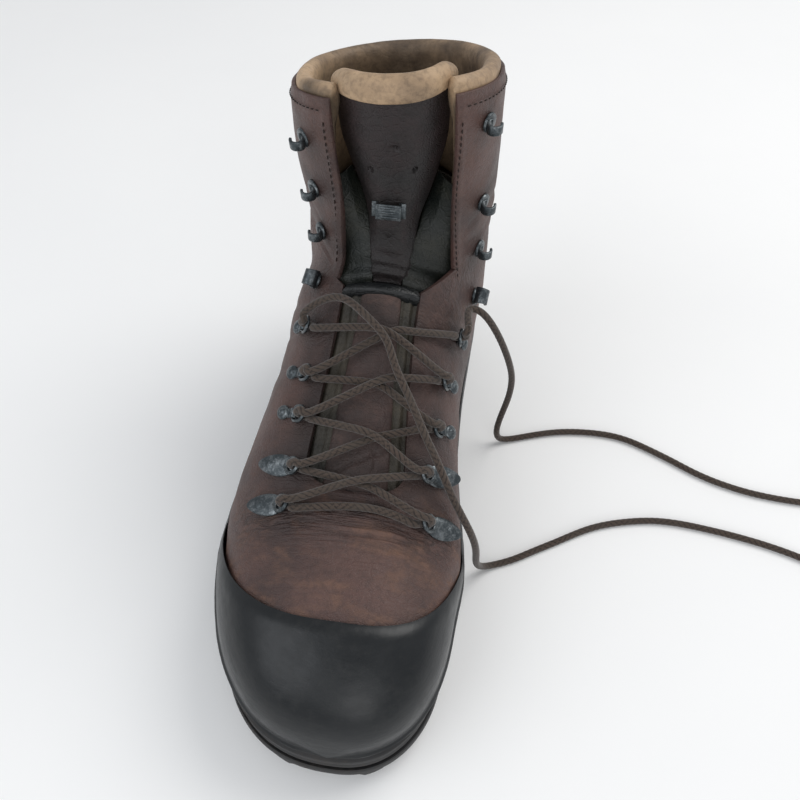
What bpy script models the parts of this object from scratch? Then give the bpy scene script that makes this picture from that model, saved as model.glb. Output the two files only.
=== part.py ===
# A laced mountaineering boot for the right foot, built as separate pieces.
# Frame: +Z up, toe along -Y, the foot's inner (medial) side along +X, origin on the floor below the middle.
# The design is worked out in millimetres and written to the meshes in metres.

import math

import bmesh
import bpy
import numpy as np
from mathutils import Matrix, Vector

MM = 0.001
LATERAL = -1
MEDIAL = 1
SIDES = {"lateral": LATERAL, "medial": MEDIAL}

# ---------------------------------------------------------------- driving dimensions

# The last is a row of sixteen sections. Each section is a plane across the boot that runs from its low
# end, on the sole edge or up the back seam, to its high end, on the instep or up the front of the shaft.
LAST = {
    "low_y": [-150, -118, -88, -58, -28, 4, 40, 76, 112, 138, 148, 149, 145, 140, 140, 141],
    "low_z": [34, 28, 25, 25, 27, 30, 33, 35, 36, 37, 39, 66, 98, 130, 164, 198],
    "high_y": [-150, -118, -88, -58, -30, -4, 12, 20, 24, 27, 29, 31, 33, 34, 33, 32],
    "high_z": [70, 74, 79, 88, 103, 120, 132, 140, 146, 151, 157, 166, 178, 193, 210, 228],
    "sole_lateral": [47, 49, 53, 57, 55, 48, 42, 39, 37, 36, 36, 0, 0, 0, 0, 0],
    "sole_medial": [40, 44, 47, 48, 43, 38, 35, 35, 35, 36, 36, 0, 0, 0, 0, 0],
    "girth_lateral": [50, 52, 57, 62, 61, 56, 53, 52, 50, 47, 46, 46, 47, 48, 49, 49],
    "girth_medial": [43, 47, 50, 53, 49, 45, 44, 45, 46, 47, 47, 47, 47, 47, 47, 46],
    "girth_height": [.25, .25, .25, .25, .28, .30, .33, .38, .42, .46, .48, .50, .50, .50, .50, .50],
    "squareness": [2.3, 2.3, 2.2, 2.1, 2.05, 2.0, 2.0, 2.0, 2.0, 2.0, 2.0, 2.0, 2.0, 2.1, 2.2, 2.3],
    "high_shift": [1, 2, 3, 4, 4, 4, 4, 4, 4, 4, 4, 4, 4, 4, 4, 4],
    "whole_shift": [12, 8, 5, 4, 4, 4, 4, 4, 4, 4, 4, 4, 4, 4, 4, 4],
    "cuff_tilt": [0, 0, 0, 0, 0, 0, 0, 0, 0, 0, 0, 0, 0, .04, .08, .12],
    "tread_top": [21, 14, 11.5, 11, 11.5, 14, 18, 16, 13, 13, 14, 0, 0, 0, 0, 0],
}
GROUND = [11, 3.5, 0, 0, 0, 4, 8, 0, 0, 0, 3]
HEEL_END = 10.0
TOE_START, TOE_LENGTH, TOE_POWER = -88.0, 62.0, 2.35
HEEL_START, HEEL_LENGTH, HEEL_POWER = 92.0, 56.0, 2.3

GAP = 0.3
SEAM = 0.025
LEATHER = 2.4
RAND_OUT, RAND_IN = -3.2, -1.2
PUFF_OUT, PUFF_IN = 3.6, 4.6
COUNTER_OUT, COUNTER_IN = 3.2, 4.2
LINING_OUT, LINING_IN = 6.6, 7.7
PAD_OUT, PAD_IN = 3.4, 8.8
TONGUE_OUT, TONGUE_IN = 3.0, 9.0
GUSSET_OUT, GUSSET_IN = 9.3, 10.5

FEATHER_ANGLE = 165.0
LINING_ANGLE = 150.0
ANKLE_HEIGHT = 138.0
HINGE_ANGLE = 95.0
THROAT_START = 3.05
THROAT_ANGLE = 17.0
CUFF = 15.0
CUFF_PAD_TOP = 15.28
FLAP_EDGE = {LATERAL: (15.0, 28.0), MEDIAL: (44.0, 33.0)}
TONGUE_EDGE = {LATERAL: (11.0, 25.0), MEDIAL: (15.0, 29.0)}
TONGUE_FOLD = 7.75

SOLE_ROWS = 18
LUG_HEIGHT = 4.5
SOLE_FLANGE = 4.5
MIDSOLE_FLANGE = 3.6

LACE_RADIUS = 1.8
WIRE_RADIUS = 0.8
RING_LENGTH = 8.0
RING_HALF_WIDTH = 3.5
RING_HINGE = Vector((-4.0, 0.0, 1.9))
RING_TILT = math.radians(24.0)
AGLET_RADIUS, AGLET_LENGTH = 2.0, 20.0
COIL_CENTRE = (282.0, 60.0)
COIL_TURNS = 2
COIL_RADIUS = 24.0

# Free ends of the lace, after they leave the top rings: over the boot, down and along the floor.
TAIL_ROUTE = {
    LATERAL: [(-19, 15, 137), (-8, 12, 142), (3, 4, 141), (13, -3, 135), (19, -12, 127), (27, -22, 118),
              (35, -32, 108), (44, -41, 95), (52, -48, 81), (60, -52, 66), (64.5, -51, 50), (66, -47, 34),
              (67, -42, 19), (70, -37, 7.5), (77, -32, 2.2), (87, -27, 1.9), (98, -20, 1.9),
              (112, -11, 1.9), (128, -1, 1.9), (146, 6, 1.9), (167, 10, 1.9), (190, 9, 1.9),
              (216, 5, 1.9), (242, -2, 1.9), (262, -13, 1.9), (274, -30, 1.9), (277, -50, 1.9)],
    MEDIAL: [(48, 38, 119), (54, 40, 117), (61, 41, 107), (67, 43, 93), (72, 46, 77), (75, 50, 60),
             (75, 53, 42), (73, 54, 26), (71.5, 52.5, 13), (74, 53, 4.5), (82, 56, 2.0), (95, 61, 1.9),
             (112, 66, 1.9), (132, 68, 1.9), (149, 66, 1.9), (164, 60, 1.9), (178, 53, 1.9),
             (194, 45, 1.9), (218, 38, 1.9), (245, 35.5, 1.9), (267.3, 36, 1.9)],
}

# Lacing hardware, bottom row first: (section, angle round the section).
PLATE_ROWS = {LATERAL: [(2.85, -29), (3.42, -27)], MEDIAL: [(2.9, 37), (3.6, 34)]}
RING_ROWS = {
    LATERAL: [(4.2, -29), (4.85, -31), (6.0, -38)],
    MEDIAL: [(4.35, 40), (5.2, 44), (6.5, 52)],
}
LOCK_ROWS = {LATERAL: (7.9, -42), MEDIAL: (8.4, 66)}
HOOK_ROWS = {
    LATERAL: [(10.9, -45), (12.4, -48), (13.9, -50)],
    MEDIAL: [(10.9, 62), (12.4, 60), (14.3, 56)],
}

COLOURS = {
    "leather": ((0.16, 0.085, 0.065), 0.55, 0.0),
    "tongue_leather": ((0.09, 0.055, 0.045), 0.6, 0.0),
    "gusset_leather": ((0.07, 0.075, 0.05), 0.65, 0.0),
    "lining_leather": ((0.62, 0.45, 0.27), 0.6, 0.0),
    "lining_fabric": ((0.10, 0.09, 0.08), 0.9, 0.0),
    "rand_rubber": ((0.02, 0.02, 0.022), 0.45, 0.0),
    "sole_rubber": ((0.018, 0.018, 0.018), 0.6, 0.0),
    "stiffener": ((0.45, 0.40, 0.32), 0.7, 0.0),
    "footbed_foam": ((0.12, 0.12, 0.13), 0.9, 0.0),
    "shank_steel": ((0.5, 0.5, 0.5), 0.35, 1.0),
    "hardware": ((0.20, 0.21, 0.22), 0.35, 1.0),
    "lace": ((0.06, 0.05, 0.04), 0.85, 0.0),
    "aglet": ((0.04, 0.035, 0.03), 0.4, 0.0),
}


# ---------------------------------------------------------------- the last's surface

def spline_bends(values):
    """Second derivatives of the natural cubic spline through evenly spaced values."""
    count = len(values)
    rows = np.eye(count)
    right = np.zeros(count)
    for i in range(1, count - 1):
        rows[i, i - 1:i + 2] = 1, 4, 1
        right[i] = 6 * (values[i + 1] - 2 * values[i] + values[i - 1])
    return np.linalg.solve(rows, right)


NAMES = list(LAST)
VALUES = np.array([LAST[name] for name in NAMES], float).T
BENDS = np.array([spline_bends(column) for column in VALUES.T]).T


def section(s):
    """The last's measures at section s, which may lie between two sections or just past the last one."""
    i = int(min(max(math.floor(s), 0), len(VALUES) - 2))
    d = s - i
    slope = VALUES[i + 1] - VALUES[i] - (2 * BENDS[i] + BENDS[i + 1]) / 6
    past = max(0.0, s - len(VALUES) + 1)
    d = d - past
    here = VALUES[i] + d * slope + d * d * BENDS[i] / 2 + d ** 3 * (BENDS[i + 1] - BENDS[i]) / 6
    if past:
        end_slope = VALUES[i + 1] - VALUES[i] + (BENDS[i] + 2 * BENDS[i + 1]) / 6
        here = here + past * end_slope
    return dict(zip(NAMES, here))


def closing(distance, length, power):
    """Factor that draws the sole outline together over the last stretch before an end."""
    u = min(max(distance / length, 0.0), 1.0)
    return (1 - u ** power) ** (1 / power)


def surface(s, angle):
    """Point on the last. Angle 0 is the throat line, 180 the sole edge or back seam, medial positive."""
    q = section(s)
    angle = (angle + 180.0) % 360.0 - 180.0
    side = MEDIAL if angle > 0 else LATERAL
    theta = math.radians(90.0 - abs(angle))
    name = "medial" if side == MEDIAL else "lateral"
    sole, girth = q["sole_" + name], q["girth_" + name]
    toe = closing(TOE_START - q["low_y"], TOE_LENGTH, TOE_POWER)
    heel = closing(q["low_y"] - HEEL_START, HEEL_LENGTH, HEEL_POWER) if s < HEEL_END else 0.0
    sole, girth = max(sole, 0.0) * toe * heel, girth * toe
    if theta < 0:
        across = sole + (girth - sole) * math.cos(theta)
        up = q["girth_height"] * (1 + math.sin(theta))
    else:
        power = 2 / q["squareness"]
        across = girth * max(math.cos(theta), 0.0) ** power
        up = q["girth_height"] + (1 - q["girth_height"]) * math.sin(theta) ** power
    rise = (q["high_z"] - q["low_z"]) * (toe ** 0.85 if q["low_y"] < TOE_START else 1.0)
    x = side * across + q["high_shift"] * up * toe + q["whole_shift"]
    y = q["low_y"] + up * (q["high_y"] - q["low_y"])
    z = q["low_z"] + up * rise + q["cuff_tilt"] * x
    return Vector((x, y, z))


def outward(s, angle):
    """Unit normal of the last's surface, pointing out of the boot."""
    if s < 0.02:
        return Vector((0, -1, 0))
    angle = (angle + 180.0) % 360.0 - 180.0
    before, after = HEEL_END - 0.25, HEEL_END + 0.2
    if before < s < after and abs(angle) > 90:
        t = (s - before) / (after - before)
        return mix(outward(before, angle), outward(after, angle), t).normalized()
    ds = min(0.04, s * 0.5)
    along = surface(s + ds, angle) - surface(s - ds, angle)
    round_ = surface(s, angle + 1.5) - surface(s, angle - 1.5)
    if abs(angle) > 178.4 and s < HEEL_END:
        side = 1 if angle > 0 else -1
        round_ = (surface(s, side * 179.9) - surface(s, side * 176.9)) * side
    return along.cross(round_).normalized() * -1


def skin(s, angle, depth):
    """Point at a depth below the last's surface (negative is outside), kept above the midsole."""
    point = surface(s, angle) - outward(s, angle) * depth
    if s < HEEL_END + 1:
        point.z = max(point.z, section(min(s, HEEL_END))["low_z"] + 0.15)
    return point


def section_at_height(angle, height, start=7.0, stop=15.9):
    """The section at which the surface line of this angle reaches a height."""
    for _ in range(40):
        middle = (start + stop) / 2
        if surface(middle, angle).z < height:
            start = middle
        else:
            stop = middle
    return (start + stop) / 2


def mix(a, b, t):
    return a + (b - a) * t


def mix_pair(a, b, t):
    return mix(a[0], b[0], t), mix(a[1], b[1], t)


# ---------------------------------------------------------------- making objects

def make_materials():
    made = {}
    for name, (colour, roughness, metallic) in COLOURS.items():
        material = bpy.data.materials.new(name)
        material.use_nodes = True
        shader = material.node_tree.nodes["Principled BSDF"]
        shader.inputs["Base Color"].default_value = (*colour, 1)
        shader.inputs["Roughness"].default_value = roughness
        shader.inputs["Metallic"].default_value = metallic
        made[name] = material
    return made


def add_object(name, data, material, parent=None, place=None):
    thing = bpy.data.objects.new(name, data)
    bpy.context.scene.collection.objects.link(thing)
    data.materials.append(MATERIALS[material])
    if place is not None:
        thing.matrix_world = place
    if parent is not None:
        bpy.context.view_layer.update()
        thing.parent = parent
        thing.matrix_parent_inverse = parent.matrix_world.inverted()
    return thing


def finish_mesh(name, mesh, material, parent=None, place=None, sharp=35):
    """Turns a bmesh into an object whose faces point out and whose round faces are smooth."""
    bmesh.ops.remove_doubles(mesh, verts=mesh.verts, dist=0.00001)
    bmesh.ops.recalc_face_normals(mesh, faces=mesh.faces)
    data = bpy.data.meshes.new(name)
    mesh.to_mesh(data)
    mesh.free()
    data.shade_smooth()
    data.set_sharp_from_angle(angle=math.radians(sharp))
    return add_object(name, data, material, parent, place)


def joint_empty(name, point, direction=None):
    """An empty on a joint's axis; the pieces that move about it hang from it."""
    empty = bpy.data.objects.new(name, None)
    bpy.context.scene.collection.objects.link(empty)
    turn = Matrix.Identity(4)
    if direction is not None:
        turn = direction.to_track_quat("Z", "Y").to_matrix().to_4x4()
    empty.matrix_world = Matrix.Translation(point * MM) @ turn
    bpy.context.view_layer.update()
    return empty


def panel(name, material, low, high, columns, rows, outer, inner, parent=None):
    """A sheet on the last between two edge lines, each a function from 0..1 to (section, angle)."""
    mesh = bmesh.new()
    bmesh.ops.create_grid(mesh, x_segments=columns, y_segments=rows, size=0.5)
    bmesh.ops.solidify(mesh, geom=mesh.faces[:], thickness=1.0)
    for vert in mesh.verts:
        b, a = vert.co.x + 0.5, vert.co.y + 0.5
        depth = outer if abs(vert.co.z) < 0.5 else inner
        s, angle = mix_pair(low(b), high(b), a)
        vert.co = skin(s, angle, depth) * MM
    return finish_mesh(name, mesh, material, parent)


def slab(name, material, flange, low, high, columns, rows, start=0.0, stop=HEEL_END, parent=None):
    """A layer of the sole: the sole outline widened by a flange, between two heights."""
    mesh = slab_mesh(flange, low, high, columns, rows, start, stop)
    return finish_mesh(name, mesh, material, parent)


def sole_point(s, across, flange):
    """Point of the sole plan: across runs from -1 on the lateral edge to 1 on the medial edge."""
    q = section(s)
    ends = closing(TOE_START - q["low_y"], TOE_LENGTH, TOE_POWER)
    ends *= closing(q["low_y"] - HEEL_START, HEEL_LENGTH, HEEL_POWER) if s < HEEL_END else 0.0
    half = (q["sole_medial"] if across > 0 else q["sole_lateral"]) + flange
    middle = 0.5 * (VALUES[0][0] + VALUES[10][0])
    reach = 0.5 * (VALUES[10][0] - VALUES[0][0])
    y = middle + (q["low_y"] - middle) * (reach + flange) / reach
    return across * half * ends + q["whole_shift"], y


def slab_mesh(flange, low, high, columns, rows, start, stop):
    mesh = bmesh.new()
    bmesh.ops.create_grid(mesh, x_segments=columns, y_segments=rows, size=0.5)
    bmesh.ops.solidify(mesh, geom=mesh.faces[:], thickness=1.0)
    for vert in mesh.verts:
        along = vert.co.y + 0.5
        s = start + (stop - start) * 0.5 * (1 - math.cos(math.pi * along))
        x, y = sole_point(s, 2 * vert.co.x, flange)
        height = high(s) if abs(vert.co.z) < 0.5 else low(s)
        vert.co = Vector((x, y, height)) * MM
    return mesh


# ---------------------------------------------------------------- sole

def ground(s):
    return float(np.interp(s, range(len(GROUND)), GROUND))


def tread_top(s):
    return section(s)["tread_top"]


def feather(s):
    return section(s)["low_z"]


def make_outsole():
    """Tread: a plate with a lug under every cell, each lug ending on the ground line."""
    columns, rows, groove = 5, SOLE_ROWS, 1.7

    def under(s):
        return ground(s) + LUG_HEIGHT

    mesh = slab_mesh(SOLE_FLANGE, under, tread_top, columns, rows, 0.0, HEEL_END)
    bmesh.ops.remove_doubles(mesh, verts=mesh.verts, dist=0.00001)
    bmesh.ops.recalc_face_normals(mesh, faces=mesh.faces)
    mesh.normal_update()
    cells = [face for face in mesh.faces if face.normal.z < -0.5 and len(face.verts) == 4
             and min(edge.calc_length() for edge in face.edges) > 3.2 * groove * MM]
    bmesh.ops.inset_individual(mesh, faces=cells, thickness=groove * MM, use_even_offset=True)
    lugs = bmesh.ops.extrude_discrete_faces(mesh, faces=cells)["faces"]
    stations = np.linspace(0, HEEL_END, 200)
    lengths = [sole_point(s, 0, SOLE_FLANGE)[1] for s in stations]
    for face in lugs:
        middle = face.calc_center_median()
        for vert in face.verts:
            vert.co = middle + (vert.co - middle) * 0.9
            s = np.interp(vert.co.y / MM, lengths, stations)
            vert.co.z = ground(s) * MM
    finish_mesh("outsole", mesh, "sole_rubber", sharp=25)


def make_sole():
    make_outsole()
    slab("midsole", "sole_rubber", MIDSOLE_FLANGE,
         lambda s: tread_top(s) + 3 * GAP, lambda s: feather(s) - 2 * GAP, 5, SOLE_ROWS)
    slab("insole_board", "stiffener", -8.5,
         lambda s: feather(s) + 2.4, lambda s: feather(s) + 4.2, 4, 22)
    shank = bmesh.new()
    bmesh.ops.create_grid(shank, x_segments=2, y_segments=14, size=0.5)
    bmesh.ops.solidify(shank, geom=shank.faces[:], thickness=1.0)
    for vert in shank.verts:
        s = mix(2.6, 8.4, vert.co.y + 0.5)
        x, y = 24.0 * vert.co.x, sole_point(s, 0, 0)[1]
        layer = 2.0 if abs(vert.co.z) < 0.5 else 0.3
        vert.co = Vector((x, y, feather(s) + layer)) * MM
    finish_mesh("shank", shank, "shank_steel")
    pivot = joint_empty("footbed_pivot", Vector((12, -141, feather(0) + 3)))
    slab("footbed", "footbed_foam", -9.5,
         lambda s: feather(s) + 4.6, lambda s: feather(s) + 9.0, 6, 24, parent=pivot)


# ---------------------------------------------------------------- rand and upper

def rand_front(angle):
    """Where the toe rand's upper edge crosses a surface line."""
    return 1.25 + 1.95 * min(abs(angle) / 90.0, 1.0) ** 1.6


def make_rand():
    panel("toe_rand", "rand_rubber",
          lambda b: (0.0, mix(-168, 168, b)),
          lambda b: (rand_front(mix(-168, 168, b)), mix(-168, 168, b)), 26, 7, RAND_OUT, RAND_IN)
    for name, side in SIDES.items():
        def low(b, side=side):
            return mix(3.2 + SEAM, 8.6, b), side * 168

        def high(b, side=side):
            return mix(3.2 + SEAM, 8.6, b), side * mix(92, 118, min(b * 2.5, 1.0))

        panel("side_rand_" + name, "rand_rubber", low, high, 14, 2, RAND_OUT, RAND_IN)
    panel("heel_rand", "rand_rubber", lambda b: heel_sole_line(b, 8.6 + SEAM, 168),
          lambda b: heel_line(b, 8.6 + SEAM, 118, 56.0), 24, 3, RAND_OUT, RAND_IN)


def heel_line(b, front, front_angle, height):
    """A line round the heel: it starts and ends at a section on the sides and crosses the back at a height."""
    e, side = 1 - abs(2 * b - 1), (1 if b < 0.5 else -1)
    angle = mix(front_angle, 180, e)
    level = mix(surface(front, front_angle).z, height, min(2 * e, 1.0))
    return section_at_height(angle, level, front), angle if side > 0 else 360 - angle


def heel_sole_line(b, front, angle):
    """The line round the heel just above the sole edge."""
    e, side = 1 - abs(2 * b - 1), (1 if b < 0.5 else -1)
    if e < 0.7:
        place = mix(front, 9.5, e / 0.7), angle
    else:
        place = mix_pair((9.5, angle), (HEEL_END + 0.02, 180), (e - 0.7) / 0.3)
    return place[0], place[1] if side > 0 else 360 - place[1]


def quarter_edges(side, low_angle, throat_angle, start, height, back, heel):
    """Edge lines of a side panel: the sole edge below, the throat and the ankle line above."""
    corner = section_at_height(side * throat_angle, height, 6.0)
    share = 0.42

    def low(b):
        if b < 0.85:
            return mix(start, 9.4, b / 0.85), side * low_angle
        return mix_pair((9.4, side * low_angle), (heel, side * back), (b - 0.85) / 0.15)

    def high(b):
        if b < share:
            return mix(start, corner, b / share), side * throat_angle
        angle = side * mix(throat_angle, back, (b - share) / (1 - share))
        return section_at_height(angle, height, 6.0), angle

    return low, high


def make_upper():
    panel("vamp", "leather",
          lambda b: (0.9, mix(-FEATHER_ANGLE, FEATHER_ANGLE, b)),
          lambda b: (THROAT_START, mix(-FEATHER_ANGLE, FEATHER_ANGLE, b)), 24, 6, 0.0, LEATHER)
    for name, side in SIDES.items():
        low, high = quarter_edges(side, FEATHER_ANGLE, THROAT_ANGLE, THROAT_START + SEAM,
                                  ANKLE_HEIGHT, 179.7, HEEL_END + 0.02)
        panel("quarter_" + name, "leather", low, high, 24, 11, 0.0, LEATHER)
        low, high = quarter_edges(side, LINING_ANGLE, THROAT_ANGLE + 11, 3.6,
                                  ANKLE_HEIGHT - 2, 179.6, HEEL_END + 0.3)
        panel("lining_" + name, "lining_fabric", low, high, 24, 8, LINING_OUT, LINING_IN)
    panel("toe_puff", "stiffener",
          lambda b: (0.0, mix(-LINING_ANGLE, LINING_ANGLE, b)),
          lambda b: (1.9, mix(-LINING_ANGLE, LINING_ANGLE, b)), 20, 5, PUFF_OUT, PUFF_IN)
    panel("heel_counter", "stiffener", lambda b: heel_line(b, 7.8, 128, 54.0),
          lambda b: heel_line(b, 7.8, 110, 96.0), 26, 5, COUNTER_OUT, COUNTER_IN)


# ---------------------------------------------------------------- shaft

def above_ankle(angle, extra=0.0):
    return section_at_height(angle, ANKLE_HEIGHT + 0.45 + extra, 6.0)


def flap_edge_angle(side, s):
    low, high = FLAP_EDGE[side]
    return side * mix(low, high, min(max((s - 8) / 7, 0), 1))


def hinge_points(side):
    """Top and bottom of the line at the side of the ankle about which a flap opens."""
    bottom = surface(above_ankle(side * HINGE_ANGLE), side * HINGE_ANGLE)
    top = surface(CUFF, side * HINGE_ANGLE)
    top.x = bottom.x
    return bottom, top


def make_shaft():
    panel("shaft_back", "leather",
          lambda b: (above_ankle(mix(HINGE_ANGLE + 0.5, 359.5 - HINGE_ANGLE, b)),
                     mix(HINGE_ANGLE + 0.5, 359.5 - HINGE_ANGLE, b)),
          lambda b: (CUFF, mix(HINGE_ANGLE + 0.5, 359.5 - HINGE_ANGLE, b)), 16, 5, 0.0, LEATHER)
    panel("collar_back", "lining_leather",
          lambda b: (above_ankle(mix(HINGE_ANGLE + 2, 358 - HINGE_ANGLE, b), 1.5),
                     mix(HINGE_ANGLE + 2, 358 - HINGE_ANGLE, b)),
          lambda b: (CUFF_PAD_TOP, mix(HINGE_ANGLE + 2, 358 - HINGE_ANGLE, b)), 14, 5, PAD_OUT, PAD_IN)
    panel("backstay", "leather",
          lambda b: (section_at_height(180, 58.5, 10.0), mix(172, 188, b)),
          lambda b: (14.6, mix(172, 188, b)), 2, 9, -1.9, -0.3)
    empties = {}
    for name, side in SIDES.items():
        bottom, top = hinge_points(side)
        empty = joint_empty("flap_axis_" + name, bottom, top - bottom)
        empties[side] = empty

        def low(b, side=side):
            angle = mix(flap_edge_angle(side, 8), side * (HINGE_ANGLE - 0.5), b)
            return above_ankle(angle, 0.8), angle

        def high(b, side=side):
            return CUFF, mix(flap_edge_angle(side, CUFF), side * (HINGE_ANGLE - 0.5), b)

        def pad_low(b, side=side):
            angle = mix(flap_edge_angle(side, 8) + side * 3, side * (HINGE_ANGLE - 4), b)
            return above_ankle(angle, 5.5), angle

        def pad_high(b, side=side):
            edge = flap_edge_angle(side, CUFF) + side * 2
            return CUFF_PAD_TOP, mix(edge, side * (HINGE_ANGLE - 4), b)

        panel("flap_" + name, "leather", low, high, 8, 8, 0.0, LEATHER, parent=empty)
        panel("flap_pad_" + name, "lining_leather", pad_low, pad_high, 8, 8, PAD_OUT, PAD_IN, parent=empty)
    return empties


# ---------------------------------------------------------------- tongue

def tongue_edge_angle(side, s):
    low, high = TONGUE_EDGE[side]
    return side * mix(low, high, min(max((s - 8) / 7, 0), 1))


def make_tongue():
    wide = THROAT_ANGLE + 7
    panel("tongue_lower", "tongue_leather",
          lambda b: (2.75, mix(-wide, wide, b)),
          lambda b: (section_at_height(0, 139.0, 6.0), mix(-wide, wide, b) * 0.8), 6, 14, TONGUE_OUT, 7.2)
    fold = surface(TONGUE_FOLD, 0)
    axis = joint_empty("tongue_axis", fold + Vector((0, 4.0, -1.0)))

    def across(b, s):
        return mix(tongue_edge_angle(LATERAL, s), tongue_edge_angle(MEDIAL, s), b)

    panel("tongue_upper", "tongue_leather",
          lambda b: (8.1, across(b, 8.1)), lambda b: (CUFF - 0.05, across(b, CUFF)),
          8, 9, TONGUE_OUT, TONGUE_IN, parent=axis)
    panel("tongue_roll", "lining_leather",
          lambda b: (CUFF, across(b, CUFF)), lambda b: (CUFF + 0.65, across(b, CUFF) * 0.94),
          8, 2, TONGUE_OUT - 0.8, TONGUE_IN + 1.5, parent=axis)
    for name, side in SIDES.items():
        def low(b, side=side):
            angle = mix(tongue_edge_angle(side, 8.2) - side * 1.0, flap_edge_angle(side, 8) + side * 14, b)
            return section_at_height(angle, 141.5, 6.0), angle

        def high(b, side=side):
            angle = mix(tongue_edge_angle(side, 13) + side * 2.5, flap_edge_angle(side, 13) + side * 14, b)
            return 13.0, angle

        panel("gusset_" + name, "gusset_leather", low, high, 4, 7, GUSSET_OUT, GUSSET_IN)
    make_keeper(axis)


def make_keeper(parent):
    """The metal bridge on the tongue that the lace runs under."""
    mesh = bmesh.new()
    half, high, thick = 5.5, 3.4, 1.0
    outline = [(-half - 2, 0), (-half - 2, thick), (-half, thick), (-half, high), (half, high),
               (half, thick), (half + 2, thick), (half + 2, 0), (half - thick, 0),
               (half - thick, high - thick), (-half + thick, high - thick), (-half + thick, 0)]
    extrude_outline(mesh, outline, 7.0)
    finish_mesh("lace_keeper", mesh, "hardware", parent, hardware_place(11.9, 0.5, -TONGUE_OUT + 0.3, LATERAL))


# ---------------------------------------------------------------- lacing hardware

def hardware_place(s, angle, lift, side):
    """Local frame on the boot: x towards the throat, y along it, z out of the leather."""
    out = outward(s, angle)
    along = (surface(s + 0.05, angle) - surface(s - 0.05, angle)).normalized()
    if side == MEDIAL:
        along = -along
    inward = along.cross(out).normalized()
    along = out.cross(inward)
    place = Matrix((inward, along, out)).transposed().to_4x4()
    place.translation = (surface(s, angle) + out * lift) * MM
    return place


def extrude_outline(mesh, outline, width):
    """A closed outline in x and z, extruded along y about the middle."""
    verts = [mesh.verts.new(Vector((x, -width / 2, z)) * MM) for x, z in outline]
    face = mesh.faces.new(verts)
    made = bmesh.ops.extrude_face_region(mesh, geom=[face])
    moved = [item for item in made["geom"] if isinstance(item, bmesh.types.BMVert)]
    bmesh.ops.translate(mesh, verts=moved, vec=Vector((0, width, 0)) * MM)


def disc_mesh(centre, half_length, half_width, low, high, count=14):
    mesh = bmesh.new()
    bmesh.ops.create_cone(mesh, cap_ends=True, segments=count, radius1=1.0, radius2=0.86,
                          depth=(high - low) * MM)
    for vert in mesh.verts:
        vert.co.x = vert.co.x * half_length * MM + centre * MM
        vert.co.y = vert.co.y * half_width * MM
        vert.co.z += (high + low) / 2 * MM
    return mesh


def join_meshes(name, first, second, material, parent, place):
    """One body from two overlapping closed meshes, joined by a Boolean union."""
    whole = finish_mesh(name, first, material, None, None)
    tool = finish_mesh(name + "_tool", second, material, None, None)
    tool.hide_render = True
    tool.display_type = "WIRE"
    union = whole.modifiers.new("union", "BOOLEAN")
    union.operation = "UNION"
    union.solver = "EXACT"
    union.object = tool
    whole.matrix_world = place
    tool.matrix_world = place
    bpy.context.view_layer.update()
    if parent is not None:
        for thing in (whole, tool):
            thing.parent = parent
            thing.matrix_parent_inverse = parent.matrix_world.inverted()
    return whole


def curl(centre, radius, thickness, start, stop, count):
    """Outline of a strip bent round a centre, outer arc first."""
    outer, inner = radius + thickness / 2, radius - thickness / 2
    angles = [math.radians(mix(start, stop, i / (count - 1))) for i in range(count)]
    points = [(centre[0] + outer * math.cos(a), centre[1] + outer * math.sin(a)) for a in angles]
    points += [(centre[0] + inner * math.cos(a), centre[1] + inner * math.sin(a)) for a in reversed(angles)]
    return points


def ring_mesh(length, half_width):
    """A D shaped wire loop: its straight leg lies on y, its round end points along x."""
    points = [Vector((0, y, 0)) for y in (-2.2, 0, 2.2)]
    points.append(Vector((0.9, half_width - 0.15, 0)))
    round_x = length - half_width
    for i in range(9):
        a = math.radians(mix(90, -90, i / 8))
        points.append(Vector((round_x + half_width * math.cos(a), half_width * math.sin(a), 0)))
    points.append(Vector((0.9, -half_width + 0.15, 0)))
    return points


def wire_loop(name, points, radius, material, parent, place):
    data = bpy.data.curves.new(name, "CURVE")
    data.dimensions = "3D"
    data.bevel_depth = radius * MM
    data.bevel_resolution = 1
    line = data.splines.new("POLY")
    line.points.add(len(points) - 1)
    for target, point in zip(line.points, points):
        target.co = (*(point * MM), 1)
    line.use_cyclic_u = True
    return add_object(name, data, material, parent, place)


def ring_turn():
    return Matrix.Translation(RING_HINGE * MM) @ Matrix.Rotation(-RING_TILT, 4, "Y")


def make_hardware(flaps):
    for name, side in SIDES.items():
        for row, (s, angle) in enumerate(PLATE_ROWS[side], 1):
            place = hardware_place(s, angle, GAP, side)
            plate = disc_mesh(-10.5, 9.0, 4.8, 0.0, 1.5)
            make_eyelet("eyelet_%s_%d" % (name, row), plate, place)
        for row, (s, angle) in enumerate(RING_ROWS[side], 3):
            place = hardware_place(s, angle, GAP, side)
            strap = bmesh.new()
            extrude_outline(strap, clip_outline(), 3.4)
            disc = disc_mesh(-12.0, 4.0, 4.0, 0.0, 1.3)
            join_meshes("ring_clip_%s_%d" % (name, row), disc, strap, "hardware", None, place)
            axis = joint_empty("ring_axis_%s_%d" % (name, row), place @ (RING_HINGE * MM) / MM,
                               (place.to_3x3() @ Vector((0, 1, 0))))
            wire_loop("lace_ring_%s_%d" % (name, row), ring_mesh(RING_LENGTH, RING_HALF_WIDTH),
                      WIRE_RADIUS, "hardware", axis, place @ ring_turn())
        s, angle = LOCK_ROWS[side]
        make_hook("lock_hook_" + name, s, angle, side, 9.0, None)
        for row, (s, angle) in enumerate(HOOK_ROWS[side], 7):
            make_hook("hook_%s_%d" % (name, row), s, angle, side, 5.0, flaps[side])


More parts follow.
